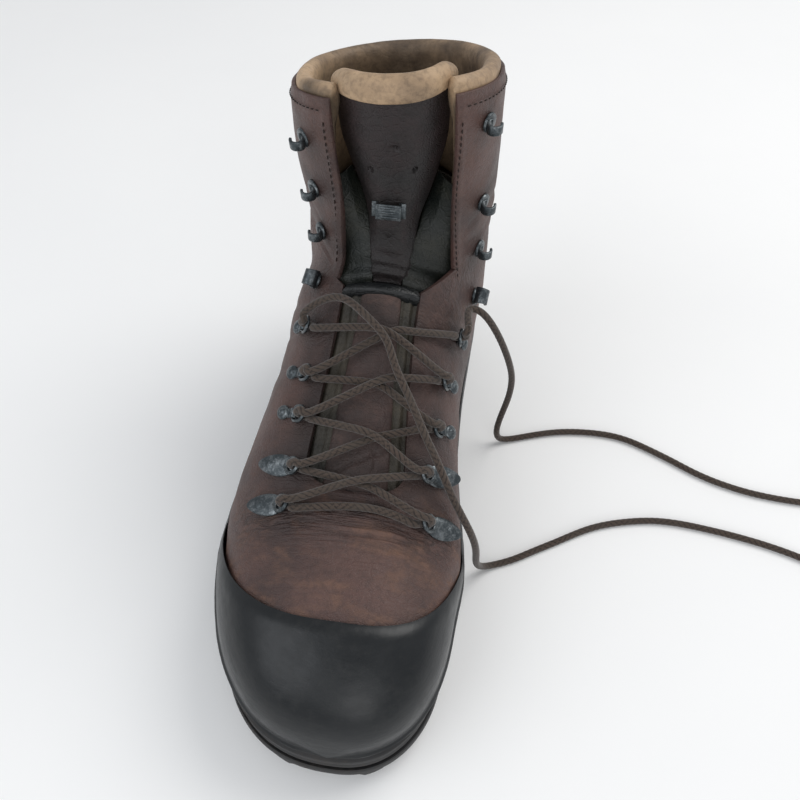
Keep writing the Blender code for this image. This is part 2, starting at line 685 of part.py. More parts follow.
def clip_outline():
    """Strap of a ring clip: flat on the leather, then curled over the ring's straight leg."""
    x, z = RING_HINGE.x, RING_HINGE.z
    arc = curl((x, z), 1.5, 0.7, -90, 170, 10)
    outer, inner = arc[:10], arc[10:]
    return [(-12.0, 0.05)] + outer + inner + [(-12.0, 0.75)]


def make_eyelet(name, plate, place):
    """A riveted leaf plate with a raised loop at its inner end."""
    whole = finish_mesh(name, plate, "hardware", None, None)
    turns = [2 * math.pi * i / 14 for i in range(14)]
    points = [Vector((RING_LENGTH / 2 * (1 + math.cos(a)), RING_HALF_WIDTH * math.sin(a), 0)) for a in turns]
    loop = wire_loop(name + "_loop", points, WIRE_RADIUS, "hardware", None, place @ ring_turn())
    bpy.context.view_layer.update()
    tool_data = bpy.data.meshes.new_from_object(loop.evaluated_get(bpy.context.evaluated_depsgraph_get()))
    tool = bpy.data.objects.new(name + "_tool", tool_data)
    bpy.context.scene.collection.objects.link(tool)
    tool.matrix_world = loop.matrix_world.copy()
    bpy.data.objects.remove(loop)
    tool.hide_render = True
    tool.display_type = "WIRE"
    union = whole.modifiers.new("union", "BOOLEAN")
    union.operation = "UNION"
    union.solver = "EXACT"
    union.object = tool
    whole.matrix_world = place
    return whole


def make_hook(name, s, angle, side, width, parent):
    """An open lace hook: a riveted disc with a strip curled away from the throat."""
    place = hardware_place(s, angle, GAP, side)
    strip = bmesh.new()
    extrude_outline(strip, curl((0.6, 4.1), 2.9, 1.3, -130, 140, 12), width)
    disc = disc_mesh(-1.0, 4.4, max(4.0, width / 2), 0.0, 1.4)
    join_meshes(name, disc, strip, "hardware", parent, place)


# ---------------------------------------------------------------- lace

def lace_frame(side, s, angle):
    """Function that turns a point given from a ring's bar (throatwards, upwards along it, out) into a place."""
    place = hardware_place(s, angle, GAP, side)
    bar = RING_HINGE + Vector((RING_LENGTH * math.cos(RING_TILT), 0, RING_LENGTH * math.sin(RING_TILT)))

    def at(inward, along, out):
        return place @ ((bar + Vector((inward, -side * along, out))) * MM) / MM

    return at


def ring_points(side, s, angle):
    """The lace at one ring: in low under its bar, up through the hole and back over the bar."""
    at = lace_frame(side, s, angle)
    points = [at(6.5, -1.8, -2.1), at(1.3, -1.0, -2.9), at(-2.2, -0.4, -2.15), at(-3.1, 0.0, 0.0),
              at(-2.2, 0.4, 2.15), at(0.8, 1.0, 3.0)]
    return points


def lace_rows(side):
    return PLATE_ROWS[side] + RING_ROWS[side]


def half_lace(first_side):
    """Half of the lacing, from the middle of the bottom bar up through five rings, side to side."""
    points = []
    side = first_side
    rows = len(lace_rows(side))
    for row in range(rows):
        s, angle = lace_rows(side)[row]
        points += ring_points(side, s, angle)
        if row < rows - 1:
            points.append(lace_frame(side, s, angle)(6.5, 2.0, 1.2))
            next_s, next_angle = lace_rows(-side)[row + 1]
            lifts = (6.6, 6.4) if first_side == LATERAL else (3.6, 2.6)
            for t, lift in zip((0.4, 0.6), lifts):
                where = mix_pair((s, angle), (next_s, next_angle), t)
                points.append(surface(*where) + outward(*where) * lift)
        side = -side
    return points, -side


def tail_start(side):
    """The last threaded point and the first free point of the lace at a top ring."""
    at = lace_frame(side, *RING_ROWS[side][-1])
    return at(1.2, 4.0, 4.0)


def smooth_route(points, spacing):
    """Points along the natural spline through hand-placed points, and the index of each placed point."""
    knots = np.array([tuple(point) for point in points])
    bends = np.array([spline_bends(column) for column in knots.T]).T
    route, marks = [], []
    for i in range(len(knots) - 1):
        steps = max(1, round(float(np.linalg.norm(knots[i + 1] - knots[i])) / spacing))
        marks.append(len(route))
        for d in np.linspace(0, 1, steps, endpoint=False):
            slope = knots[i + 1] - knots[i] - (2 * bends[i] + bends[i + 1]) / 6
            route.append(knots[i] + d * slope + d * d * bends[i] / 2 + d ** 3 * (bends[i + 1] - bends[i]) / 6)
    marks.append(len(route))
    route.append(knots[-1])
    return np.array(route), marks


def cut_route(route, first, last):
    """Three pieces of a route, cut at two of its points, whose facing ends are square with a gap between."""
    pieces = []
    marks = [0, first, last, len(route) - 1]
    for start, stop in zip(marks, marks[1:]):
        piece = list(route[start:stop + 1])
        if start > 0:
            heading = (route[start + 1] - route[start - 1]) / np.linalg.norm(route[start + 1] - route[start - 1])
            piece[0:1] = [route[start] + heading * GAP / 2, route[start] + heading]
        if stop < len(route) - 1:
            heading = (route[stop + 1] - route[stop - 1]) / np.linalg.norm(route[stop + 1] - route[stop - 1])
            piece[-1:] = [route[stop] - heading, route[stop] - heading * GAP / 2]
        pieces.append(np.array(piece))
    return pieces


def length_of(route):
    return float(np.linalg.norm(np.diff(route, axis=0), axis=1).sum())


def cord(name, route, radius):
    """A plain round tube along a route, with filled ends."""
    data = bpy.data.curves.new(name, "CURVE")
    data.dimensions = "3D"
    data.bevel_depth = radius * MM
    data.bevel_resolution = 2
    data.use_fill_caps = True
    line = data.splines.new("POLY")
    line.points.add(len(route) - 1)
    for target, point in zip(line.points, route):
        target.co = (*(point * MM), 1)
    return add_object(name, data, "lace")


def make_aglet(name, start, direction, length):
    mesh = bmesh.new()
    bmesh.ops.create_cone(mesh, cap_ends=True, segments=10, radius1=AGLET_RADIUS * MM,
                          radius2=AGLET_RADIUS * 0.9 * MM, depth=length * MM)
    bmesh.ops.translate(mesh, verts=mesh.verts, vec=Vector((0, 0, length / 2)) * MM)
    turn = direction.to_track_quat("Z", "Y").to_matrix().to_4x4()
    finish_mesh(name, mesh, "aglet", None, Matrix.Translation(start * MM) @ turn)


def make_lace():
    lateral_half, lateral_end = half_lace(LATERAL)
    medial_half, medial_end = half_lace(MEDIAL)
    tails = {side: [Vector(point) for point in TAIL_ROUTE[side]] for side in SIDES.values()}
    bar_middle = surface(2.86, 5) + outward(2.86, 5) * 2.6
    threaded = lateral_half[::-1] + [bar_middle] + medial_half
    threaded = [tail_start(lateral_end)] + threaded + [tail_start(medial_end)]
    points = tails[lateral_end][::-1] + threaded + tails[medial_end]
    route, marks = smooth_route(points, 8.0)
    first = marks[len(tails[lateral_end])]
    last = marks[len(tails[lateral_end]) + len(threaded) - 1]
    lateral_tail, threaded, medial_tail = cut_route(route, first, last)
    pieces = {
        "lace_threaded": threaded,
        "lace_tail_lateral": lateral_tail[::-1],
        "lace_tail_medial": medial_tail,
    }
    for name, piece in pieces.items():
        cord(name, piece, LACE_RADIUS)
    end = Vector(pieces["lace_tail_lateral"][-1])
    heading = (end - Vector(pieces["lace_tail_lateral"][-2])).normalized()
    heading.z = 0
    start = end + heading * GAP
    start.z = AGLET_RADIUS + 0.05
    make_aglet("aglet_lateral", start, heading, AGLET_LENGTH)
    make_coil()
    return pieces


def make_coil():
    """Outer shape of the neat coil at the medial tail's end, with the end's tip lying inside it."""
    inner = COIL_RADIUS - 2 * LACE_RADIUS * (COIL_TURNS - 1) - LACE_RADIUS - 0.2
    outer = COIL_RADIUS + LACE_RADIUS
    mesh = bmesh.new()
    profile = [(inner, 0.05), (outer, 0.05), (outer, 2 * LACE_RADIUS + 0.1), (inner, 2 * LACE_RADIUS + 0.1)]
    verts = [mesh.verts.new(Vector((x, 0, z)) * MM) for x, z in profile]
    edges = [mesh.edges.new((verts[i], verts[(i + 1) % 4])) for i in range(4)]
    bmesh.ops.spin(mesh, geom=verts + edges, cent=(0, 0, 0), axis=(0, 0, 1), angle=2 * math.pi,
                   steps=28, use_merge=True)
    finish_mesh("lace_coil", mesh, "lace", None, Matrix.Translation(Vector((*COIL_CENTRE, 0)) * MM))
    start = Vector((COIL_CENTRE[0] - 5.3, COIL_CENTRE[1] - 1.0, AGLET_RADIUS + 0.05))
    make_aglet("aglet_medial", start, Vector((1, 0.4, 0)).normalized(), AGLET_LENGTH)


# ---------------------------------------------------------------- build

for old in list(bpy.data.objects):
    bpy.data.objects.remove(old)
MATERIALS = make_materials()
make_sole()
make_rand()
make_upper()
flap_empties = make_shaft()
make_tongue()
make_hardware(flap_empties)
for piece_name, piece in make_lace().items():
    print(piece_name, round(length_of(piece)), "mm,", len(piece), "points")
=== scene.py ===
import math

import bmesh
import bpy
import numpy as np
from mathutils import Matrix, Vector, noise


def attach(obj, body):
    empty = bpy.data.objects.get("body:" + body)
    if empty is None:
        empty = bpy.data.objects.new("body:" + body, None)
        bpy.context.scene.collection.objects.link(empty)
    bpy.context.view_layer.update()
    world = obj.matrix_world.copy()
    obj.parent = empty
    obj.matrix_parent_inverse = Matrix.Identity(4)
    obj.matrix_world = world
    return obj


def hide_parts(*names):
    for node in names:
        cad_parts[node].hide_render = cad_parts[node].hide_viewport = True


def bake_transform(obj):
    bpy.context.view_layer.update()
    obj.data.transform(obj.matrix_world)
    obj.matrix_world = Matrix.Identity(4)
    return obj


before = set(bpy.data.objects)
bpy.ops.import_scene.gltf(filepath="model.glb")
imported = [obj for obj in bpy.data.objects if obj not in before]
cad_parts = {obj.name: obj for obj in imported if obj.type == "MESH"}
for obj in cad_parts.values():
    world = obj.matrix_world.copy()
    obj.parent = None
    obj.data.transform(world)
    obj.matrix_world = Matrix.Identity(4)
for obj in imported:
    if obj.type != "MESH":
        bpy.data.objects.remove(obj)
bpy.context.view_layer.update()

mm = 0.001
lateral, medial = -1, 1
sideNames = {lateral: "lateral", medial: "medial"}
print("frame loaded:", len(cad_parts), "nodes")


# camera, first, because the cords are laid out by its view

cameraSettings = {
    "place": (53.5, -271.4, 408.8),
    "right": (0.9895, 0.1432, 0.0177),
    "up": (-0.12, 0.7491, 0.6514),
    "back": (0.08, -0.6468, 0.7585),
    "lens": 38.7,
}


def makeCamera(settings):
    data = bpy.data.cameras.new("camera")
    data.lens = settings["lens"]
    data.clip_start = 0.01
    camera = bpy.data.objects.new("camera", data)
    bpy.context.scene.collection.objects.link(camera)
    turn = Matrix((settings["right"], settings["up"], settings["back"])).transposed()
    camera.matrix_world = Matrix.Translation(Vector(settings["place"]) * mm) @ turn.to_4x4()
    bpy.context.scene.camera = camera


makeCamera(cameraSettings)


# the last: sixteen sections along the foot and up the shaft, in millimetres

last = {
    "lowY": [-150, -118, -88, -58, -28, 4, 40, 76, 112, 138, 148, 149, 145, 140, 140, 141],
    "lowZ": [34, 28, 25, 25, 27, 30, 33, 35, 36, 37, 39, 66, 98, 130, 164, 198],
    "highY": [-150, -118, -88, -58, -30, -4, 12, 20, 24, 27, 29, 31, 33, 34, 33, 32],
    "highZ": [70, 74, 79, 88, 103, 120, 132, 140, 146, 151, 157, 166, 178, 193, 210, 228],
    "soleLateral": [47, 49, 53, 57, 55, 48, 42, 39, 37, 36, 36, 0, 0, 0, 0, 0],
    "soleMedial": [40, 44, 47, 48, 43, 38, 35, 35, 35, 36, 36, 0, 0, 0, 0, 0],
    "girthLateral": [50, 52, 57, 62, 61, 56, 53, 52, 50, 47, 46, 46, 47, 48, 49, 49],
    "girthMedial": [43, 47, 50, 53, 49, 45, 44, 45, 46, 47, 47, 47, 47, 47, 47, 46],
    "girthHeight": [.25, .25, .25, .25, .28, .30, .33, .38, .42, .46, .48, .50, .50, .50, .50, .50],
    "squareness": [2.3, 2.3, 2.2, 2.1, 2.05, 2.0, 2.0, 2.0, 2.0, 2.0, 2.0, 2.0, 2.0, 2.1, 2.2, 2.3],
    "highShift": [1, 2, 3, 4, 4, 4, 4, 4, 4, 4, 4, 4, 4, 4, 4, 4],
    "wholeShift": [12, 8, 5, 4, 4, 4, 4, 4, 4, 4, 4, 4, 4, 4, 4, 4],
    "cuffTilt": [0, 0, 0, 0, 0, 0, 0, 0, 0, 0, 0, 0, 0, .04, .08, .12],
    "treadTop": [21, 14, 11.5, 11, 11.5, 14, 18, 16, 13, 13, 14, 0, 0, 0, 0, 0],
}
shape = {
    "heelEnd": 10.0, "toe": (-88.0, 62.0, 2.35), "heel": (92.0, 56.0, 2.3),
    "ankleHeight": 138.0, "cuff": 15.0, "throatAngle": 23.0,
    "featherAngle": 165.0, "flapEdge": {lateral: (27.0, 28.0), medial: (42.0, 33.0)},
    "tongueEdge": {lateral: (12.0, 27.0), medial: (16.0, 32.0)},
}


def splineBends(values):    # second derivatives of the natural cubic spline
    count = len(values)
    rows, right = np.eye(count), np.zeros(count)
    for i in range(1, count - 1):
        rows[i, i - 1:i + 2] = 1, 4, 1
        right[i] = 6 * (values[i + 1] - 2 * values[i] + values[i - 1])
    return np.linalg.solve(rows, right)


lastNames = list(last)
lastValues = np.array([last[name] for name in lastNames], float).T
lastBends = np.array([splineBends(column) for column in lastValues.T]).T


def hump(x, width):    # 1 where x is 0, and falling to 0 on both sides
    return np.exp(-(x / width) ** 2)


def section(s):    # the last's measures at sections s, an array
    i = np.clip(np.floor(s).astype(int), 0, len(lastValues) - 2)
    past = np.maximum(0.0, s - len(lastValues) + 1)
    d = (s - i - past)[..., None]
    here, after = lastValues[i], lastValues[i + 1]
    bend, nextBend = lastBends[i], lastBends[i + 1]
    slope = after - here - (2 * bend + nextBend) / 6
    found = here + d * slope + d * d * bend / 2 + d ** 3 * (nextBend - bend) / 6
    found = found + past[..., None] * (after - here + (bend + 2 * nextBend) / 6)
    return {name: found[..., k] for k, name in enumerate(lastNames)}


def closing(distance, length, power):
    u = np.clip(distance / length, 0.0, 1.0)
    return (1 - u ** power) ** (1 / power)


def surface(s, angle):    # points on the last; angle 0 is the throat line, 180 the sole edge or back seam
    s, angle = np.broadcast_arrays(np.asarray(s, float), np.asarray(angle, float))
    q = section(s)
    angle = (angle + 180.0) % 360.0 - 180.0
    onMedial = angle > 0
    theta = np.radians(90.0 - np.abs(angle))
    toeStart, toeLength, toePower = shape["toe"]
    heelStart, heelLength, heelPower = shape["heel"]
    toe = closing(toeStart - q["lowY"], toeLength, toePower)
    heel = np.where(s < shape["heelEnd"], closing(q["lowY"] - heelStart, heelLength, heelPower), 0.0)
    sole = np.maximum(np.where(onMedial, q["soleMedial"], q["soleLateral"]), 0.0) * toe * heel
    girth = np.where(onMedial, q["girthMedial"], q["girthLateral"]) * toe
    power = 2 / q["squareness"]
    bulge = np.maximum(np.cos(theta), 0.0) ** power
    lift = np.maximum(np.sin(theta), 0.0) ** power
    level = q["girthHeight"]
    across = np.where(theta < 0, sole + (girth - sole) * np.cos(theta), girth * bulge)
    up = np.where(theta < 0, level * (1 + np.sin(theta)), level + (1 - level) * lift)
    rise = (q["highZ"] - q["lowZ"]) * np.where(q["lowY"] < toeStart, toe ** 0.85, 1.0)
    x = np.where(onMedial, 1, -1) * across + q["highShift"] * up * toe + q["wholeShift"]
    y = q["lowY"] + up * (q["highY"] - q["lowY"])
    z = q["lowZ"] + up * rise + q["cuffTilt"] * x
    return np.stack([x, y, z], axis=-1)


def unit(vectors):
    return vectors / np.maximum(np.linalg.norm(vectors, axis=-1, keepdims=True), 1e-9)


def plainNormal(s, angle):
    step = np.minimum(0.04, s * 0.5)
    along = surface(s + step, angle) - surface(s - step, angle)
    around = surface(s, angle + 1.5) - surface(s, angle - 1.5)
    side = np.where(angle > 0, 1, -1)
    edge = (surface(s, side * 179.9) - surface(s, side * 176.9)) * side[..., None]
    nearEdge = (np.abs(angle) > 178.4) & (s < shape["heelEnd"])
    return unit(-np.cross(along, np.where(nearEdge[..., None], edge, around)))


def outward(s, angle):    # unit normals of the last
    s, angle = np.broadcast_arrays(np.asarray(s, float), np.asarray(angle, float))
    angle = (angle + 180.0) % 360.0 - 180.0
    found = plainNormal(s, angle)
    before, after = shape["heelEnd"] - 0.25, shape["heelEnd"] + 0.2
    t = ((s - before) / (after - before))[..., None]
    turned = unit(plainNormal(np.full_like(s, before), angle) * (1 - t)
                  + plainNormal(np.full_like(s, after), angle) * t)
    corner = (s > before) & (s < after) & (np.abs(angle) > 90)
    found = np.where(corner[..., None], turned, found)
    return np.where((s < 0.02)[..., None], np.array([0.0, -1.0, 0.0]), found)


def skin(s, angle, depth):    # points at a depth below the last, kept above the midsole
    s, angle = np.broadcast_arrays(np.asarray(s, float), np.asarray(angle, float))
    point = surface(s, angle) - outward(s, angle) * np.asarray(depth)[..., None]
    floor = section(np.minimum(s, shape["heelEnd"]))["lowZ"] + 0.15
    point[..., 2] = np.where(s < shape["heelEnd"] + 1, np.maximum(point[..., 2], floor), point[..., 2])
    return point


def sectionAtHeight(angle, height, start=6.0, stop=15.9):
    angle, height = np.broadcast_arrays(np.asarray(angle, float), np.asarray(height, float))
    low, high = np.broadcast_to(np.asarray(start, float), angle.shape).copy(), np.full(angle.shape, stop)
    for _ in range(36):
        middle = (low + high) / 2
        below = surface(middle, angle)[..., 2] < height
        low, high = np.where(below, middle, low), np.where(below, high, middle)
    return (low + high) / 2


def mix(a, b, t):
    return a + (b - a) * t


def mixPair(a, b, t):
    return mix(a[0], b[0], t), mix(a[1], b[1], t)


def ease(t):
    t = np.clip(t, 0.0, 1.0)
    return t * t * (3 - 2 * t)


def noiseField(points, scale, seed=0.0):    # smooth noise from -1 to 1 at points, one value each
    stretch = np.asarray(scale, float)
    moved = points * stretch + seed
    return np.array([noise.noise(Vector(p)) for p in moved.reshape(-1, 3)]).reshape(points.shape[:-1])


# making pieces

def finishMesh(name, mesh, material, body, replaces=(), sharp=40, merge=0.00001):
    if merge:
        bmesh.ops.remove_doubles(mesh, verts=mesh.verts, dist=merge)
    bmesh.ops.recalc_face_normals(mesh, faces=mesh.faces)
    data = bpy.data.meshes.new(name)
    mesh.to_mesh(data)
    mesh.free()
    data.shade_smooth()
    data.set_sharp_from_angle(angle=math.radians(sharp))
    piece = bpy.data.objects.new(name, data)
    bpy.context.scene.collection.objects.link(piece)
    data.materials.append(material)
    if body:
        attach(piece, body)
    if replaces:
        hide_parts(*replaces)
    return piece


def vertexSpots(piece):    # a piece's points in millimetres
    flat = np.empty(len(piece.data.vertices) * 3, np.float32)
    piece.data.vertices.foreach_get("co", flat)
    return flat.reshape(-1, 3) / mm


def paintTone(piece, values, name):
    layer = piece.data.attributes.new(name, "FLOAT", "POINT")
    layer.data.foreach_set("value", np.asarray(values, np.float32))


def roundRims(mesh, width, above=50):    # bevels the edges where two faces meet sharply
    edges = [edge for edge in mesh.edges if len(edge.link_faces) == 2
             and edge.calc_face_angle(0) > math.radians(above)]
    bmesh.ops.bevel(mesh, geom=edges, offset=width * mm, affect="EDGES", segments=2,
                    profile=0.5, material=-1, clamp_overlap=True)


def addTo(whole, part, place=None):    # adds a closed shape to a mesh, after moving it in millimetres
    if place is not None:
        bmesh.ops.transform(part, matrix=place, verts=part.verts)
    data = bpy.data.meshes.new("part")
    part.to_mesh(data)
    part.free()
    whole.from_mesh(data)
    bpy.data.meshes.remove(data)


def gridMesh(columns, rows, layered=False):    # a unit square of faces, or two of them joined at the rim
    mesh = bmesh.new()
    bmesh.ops.create_grid(mesh, x_segments=columns, y_segments=rows, size=0.5)
    if layered:
        bmesh.ops.solidify(mesh, geom=mesh.faces[:], thickness=1.0)
    return mesh


def gridSpots(mesh):
    return np.array([vert.co for vert in mesh.verts])


def placeVerts(mesh, points):    # points in millimetres
    for vert, point in zip(mesh.verts, points):
        vert.co = Vector(point) * mm


def weldRims(mesh):
    bmesh.ops.remove_doubles(mesh, verts=mesh.verts, dist=0.00001)
    bmesh.ops.recalc_face_normals(mesh, faces=mesh.faces)


def closeEnds(mesh):
    bmesh.ops.remove_doubles(mesh, verts=mesh.verts, dist=0.00001)
    bmesh.ops.holes_fill(mesh, edges=[edge for edge in mesh.edges if edge.is_boundary], sides=0)


def sheetMesh(columns, rows, place, rim):
    # a grid in u and v from 0 to 1, doubled into an outer and an inner layer and put in place
    mesh = gridMesh(columns, rows, True)
    spot = gridSpots(mesh)
    placeVerts(mesh, place(spot[:, 0] + 0.5, spot[:, 1] + 0.5, np.abs(spot[:, 2]) < 0.5))
    weldRims(mesh)
    if rim:
        roundRims(mesh, rim)
    return mesh


# materials: one small class writes shader maths as Python expressions

class Flow:
    def __init__(self, maker, socket):
        self.maker, self.socket = maker, socket

    def maths(self, operation, other=0.0, swap=False, clamp=False):
        values = [other, self] if swap else [self, other]
        return self.maker.node("ShaderNodeMath", {"operation": operation, "use_clamp": clamp},
                               {0: values[0], 1: values[1]})

    def __add__(self, other):
        return self.maths("ADD", other)

    __radd__ = __add__

    def __sub__(self, other):
        return self.maths("SUBTRACT", other)

    def __rsub__(self, other):
        return self.maths("SUBTRACT", other, swap=True)

    def __mul__(self, other):
        return self.maths("MULTIPLY", other)

    __rmul__ = __mul__

    def clamped(self):
        return self.maths("ADD", 0.0, clamp=True)

    def window(self, low, high):    # 0 below low, 1 above high
        return self.maker.node("ShaderNodeMapRange", {"interpolation_type": "SMOOTHSTEP"},
                               {"Value": self, "From Min": low, "From Max": high})


class Finish:    # one procedural material
    def __init__(self, name, roughness=0.6, **fixed):
        self.material = bpy.data.materials.new(name)
        self.material.use_nodes = True
        self.tree = self.material.node_tree
        self.shader = self.tree.nodes["Principled BSDF"]
        self.put("Roughness", roughness)
        for label, value in fixed.items():
            self.put(label, value)
        self.place = Flow(self, self.tree.nodes.new("ShaderNodeTexCoord").outputs["Object"])

    def put(self, label, value):
        self.plug(self.shader.inputs[label], value)

    def plug(self, socket, value):
        if isinstance(value, Flow):
            self.tree.links.new(value.socket, socket)
        elif isinstance(value, tuple) and len(value) == 3 and socket.type == "RGBA":
            socket.default_value = (*value, 1)
        else:
            socket.default_value = value

    def node(self, kind, settings=None, sockets=None, output=0):
        made = self.tree.nodes.new(kind)
        for name, value in (settings or {}).items():
            setattr(made, name, value)
        for name, value in (sockets or {}).items():
            self.plug(made.inputs[name], value)
        return Flow(self, made.outputs[output])

    def noise(self, scale, detail=4.0, roughness=0.55, where=None, distortion=0.0):
        return self.node("ShaderNodeTexNoise", {},
                         {"Vector": where or self.place, "Scale": scale, "Detail": detail,
                          "Roughness": roughness, "Distortion": distortion})

    def cells(self, scale, feature="F1", where=None, randomness=1.0):
        return self.node("ShaderNodeTexVoronoi", {"feature": feature},
                         {"Vector": where or self.place, "Scale": scale, "Randomness": randomness})

    def stretched(self, x, y, z):
        return self.node("ShaderNodeMapping", {}, {"Vector": self.place, "Scale": (x, y, z)})

    def blend(self, amount, first, second):    # colours
        return self.node("ShaderNodeMix", {"data_type": "RGBA"}, {0: amount, 6: first, 7: second}, 2)

    def tone(self, name):
        return self.node("ShaderNodeAttribute", {"attribute_name": name}, {}, 2)

    def relief(self, height, strength, distance):
        return self.node("ShaderNodeBump", {}, {"Height": height, "Strength": strength, "Distance": distance})


def leatherFinish(name, base, dark, scuff, roughness=0.56, scuffing=0.5, grain=1.0, toned=True):
    f = Finish(name, **{"Specular IOR Level": 0.42})
    cloud = f.noise(16, 5, 0.6)
    patch = f.noise(55, 6, 0.65, distortion=0.6)
    streak = f.noise(48, 5, 0.6, where=f.stretched(1.0, 3.6, 2.0))
    speck = f.noise(420, 3, 0.6)
    colour = f.blend(cloud.window(0.34, 0.66), dark, base)
    worn = (patch * 0.5 + streak * 0.5).window(0.44, 0.72) * scuffing
    if toned:
        worn = (worn * (0.35 + f.tone("wear") * 1.5)).clamped()
    colour = f.blend(worn, colour, scuff)
    colour = f.blend(speck.window(0.42, 0.7) * 0.35, colour, dark)
    if toned:
        # grime with painted shade: darkened where that attribute is painted on each piece
        colour = f.blend(f.tone("grimeAndShade").clamped() * 0.8, colour, tuple(c * 0.3 for c in dark))
    f.put("Roughness", (roughness + (patch - 0.5) * 0.35 + worn * 0.12).clamped())
    pores = f.cells(950, "DISTANCE_TO_EDGE")
    cracks = f.cells(230, "DISTANCE_TO_EDGE", where=f.stretched(0.8, 1.5, 1.1))
    height = pores.window(0.0, 0.25) * 0.35 + cracks.window(0.0, 0.12) * 0.5 + streak * 0.8
    if toned:    # fine crosswise lines where the leather flexes, their grooves darkened with painted shade
        lines = f.noise(85, 3, 0.6, where=f.stretched(0.22, 3.2, 1.6))
        groove = (1 - ((lines - 0.5) * 9).maths("ABSOLUTE")).clamped() * f.tone("flex")
        height = height - groove * 2.6
        # painted shade in the crease grooves
        colour = f.blend(groove * 0.6, colour, tuple(c * 0.45 for c in dark))
    f.put("Base Color", colour)
    f.put("Normal", f.relief(height, 0.45 * grain, 0.0006))
    return f.material


def rubberFinish(name, base, dust, roughness, dusty=0.4, specular=0.5):
    f = Finish(name, **{"Specular IOR Level": specular})
    cloud = f.noise(30, 6, 0.6)
    fine = f.noise(300, 4, 0.6)
    scratch = f.noise(90, 5, 0.7, where=f.stretched(1.0, 1.0, 5.0))
    dirt = ((cloud * 0.5 + fine * 0.5).window(0.46, 0.68) * dusty).clamped()
    f.put("Base Color", f.blend(dirt, base, dust))
    f.put("Roughness", (roughness + (scratch - 0.5) * 0.4 + dirt * 0.3).clamped())
    f.put("Normal", f.relief(fine * 0.5 + scratch, 0.22, 0.0005))
    return f.material


def metalFinish(name):
    f = Finish(name, **{"Specular IOR Level": 0.5})
    cloud = f.noise(260, 5, 0.6)
    fine = f.noise(1200, 3, 0.6)
    worn = (cloud * 0.6 + fine * 0.4).window(0.42, 0.72)
    f.put("Base Color", f.blend(worn, (0.050, 0.060, 0.066), (0.24, 0.26, 0.27)))
    f.put("Metallic", (0.75 + worn * 0.25).clamped())
    f.put("Roughness", (0.36 - worn * 0.10 + (fine - 0.5) * 0.2).clamped())
    f.put("Normal", f.relief(cloud, 0.25, 0.0003))
    return f.material


def laceFinish(name):
    f = Finish(name, roughness=0.88,
               **{"Specular IOR Level": 0.3, "Sheen Weight": 0.25, "Sheen Roughness": 0.5})
    strand = f.tone("strand")
    cloud = f.noise(70, 4, 0.6)
    fibre = f.noise(1500, 2, 0.6)
    # painted shade between the braid strands, lighter on their crowns
    colour = f.blend(strand.window(0.25, 0.8), (0.016, 0.012, 0.010), (0.064, 0.046, 0.036))
    colour = f.blend(cloud.window(0.4, 0.7) * 0.35, colour, (0.06, 0.05, 0.042))
    f.put("Base Color", colour)
    f.put("Normal", f.relief(fibre, 0.3, 0.0003))
    return f.material


def clothFinish(name, base, dark, scale=650):
    f = Finish(name, roughness=0.9, **{"Specular IOR Level": 0.25})
    weave = f.cells(scale, "F1", randomness=0.2)
    cloud = f.noise(24, 4, 0.6)
    colour = f.blend(weave.window(0.1, 0.6), base, dark)
    f.put("Base Color", f.blend(cloud.window(0.4, 0.7) * 0.4, colour, dark))
    f.put("Normal", f.relief(1 - weave, 0.5, 0.0005))
    return f.material


finishes = {
    "leather": leatherFinish("boot_leather", (0.10, 0.053, 0.044), (0.040, 0.024, 0.022),
                             (0.165, 0.088, 0.058), 0.52, 0.6),
    "tongueLeather": leatherFinish("tongue_leather", (0.019, 0.012, 0.012), (0.008, 0.007, 0.007),
                                   (0.045, 0.021, 0.021), 0.5, 0.5),
    "panel": leatherFinish("tongue_panel_leather", (0.082, 0.048, 0.042), (0.030, 0.020, 0.018),
                           (0.145, 0.085, 0.068), 0.55, 0.55, 1.0, False),
    "foldLeather": leatherFinish("fold_leather", (0.010, 0.012, 0.012), (0.005, 0.006, 0.007),
                                 (0.03, 0.03, 0.03), 0.3, 0.4, 0.8, False),
    "gusset": leatherFinish("gusset_leather", (0.030, 0.032, 0.024), (0.007, 0.010, 0.009),
                            (0.075, 0.070, 0.050), 0.46, 0.5),
    "pleat": leatherFinish("pleated_leather", (0.080, 0.066, 0.046), (0.022, 0.020, 0.016),
                           (0.16, 0.13, 0.09), 0.52, 0.5),
    "tan": leatherFinish("collar_leather", (0.50, 0.345, 0.21), (0.075, 0.052, 0.036),
                         (0.62, 0.46, 0.31), 0.6, 0.4, 0.5),
    "rand": rubberFinish("rand_rubber", (0.005, 0.0065, 0.008), (0.022, 0.022, 0.021), 0.34, 0.3, 0.42),
    "sole": rubberFinish("sole_rubber", (0.008, 0.008, 0.009), (0.05, 0.04, 0.034), 0.6, 0.5),
    "metal": metalFinish("gunmetal"),
    "lace": laceFinish("lace_braid"),
    "lining": clothFinish("lining_cloth", (0.07, 0.06, 0.05), (0.03, 0.026, 0.022)),
    "foam": clothFinish("footbed_felt", (0.10, 0.09, 0.08), (0.045, 0.04, 0.036), 500),
    "board": rubberFinish("fibre_board", (0.35, 0.28, 0.2), (0.5, 0.42, 0.3), 0.75, 0.4),
    "thread": clothFinish("stitch_thread", (0.045, 0.03, 0.026), (0.02, 0.014, 0.012), 2500),
    "aglet": rubberFinish("aglet_plastic", (0.02, 0.016, 0.014), (0.06, 0.055, 0.05), 0.35, 0.3),
}
print("materials made:", len(finishes))


# lacing hardware, bottom row first: section, angle round the section

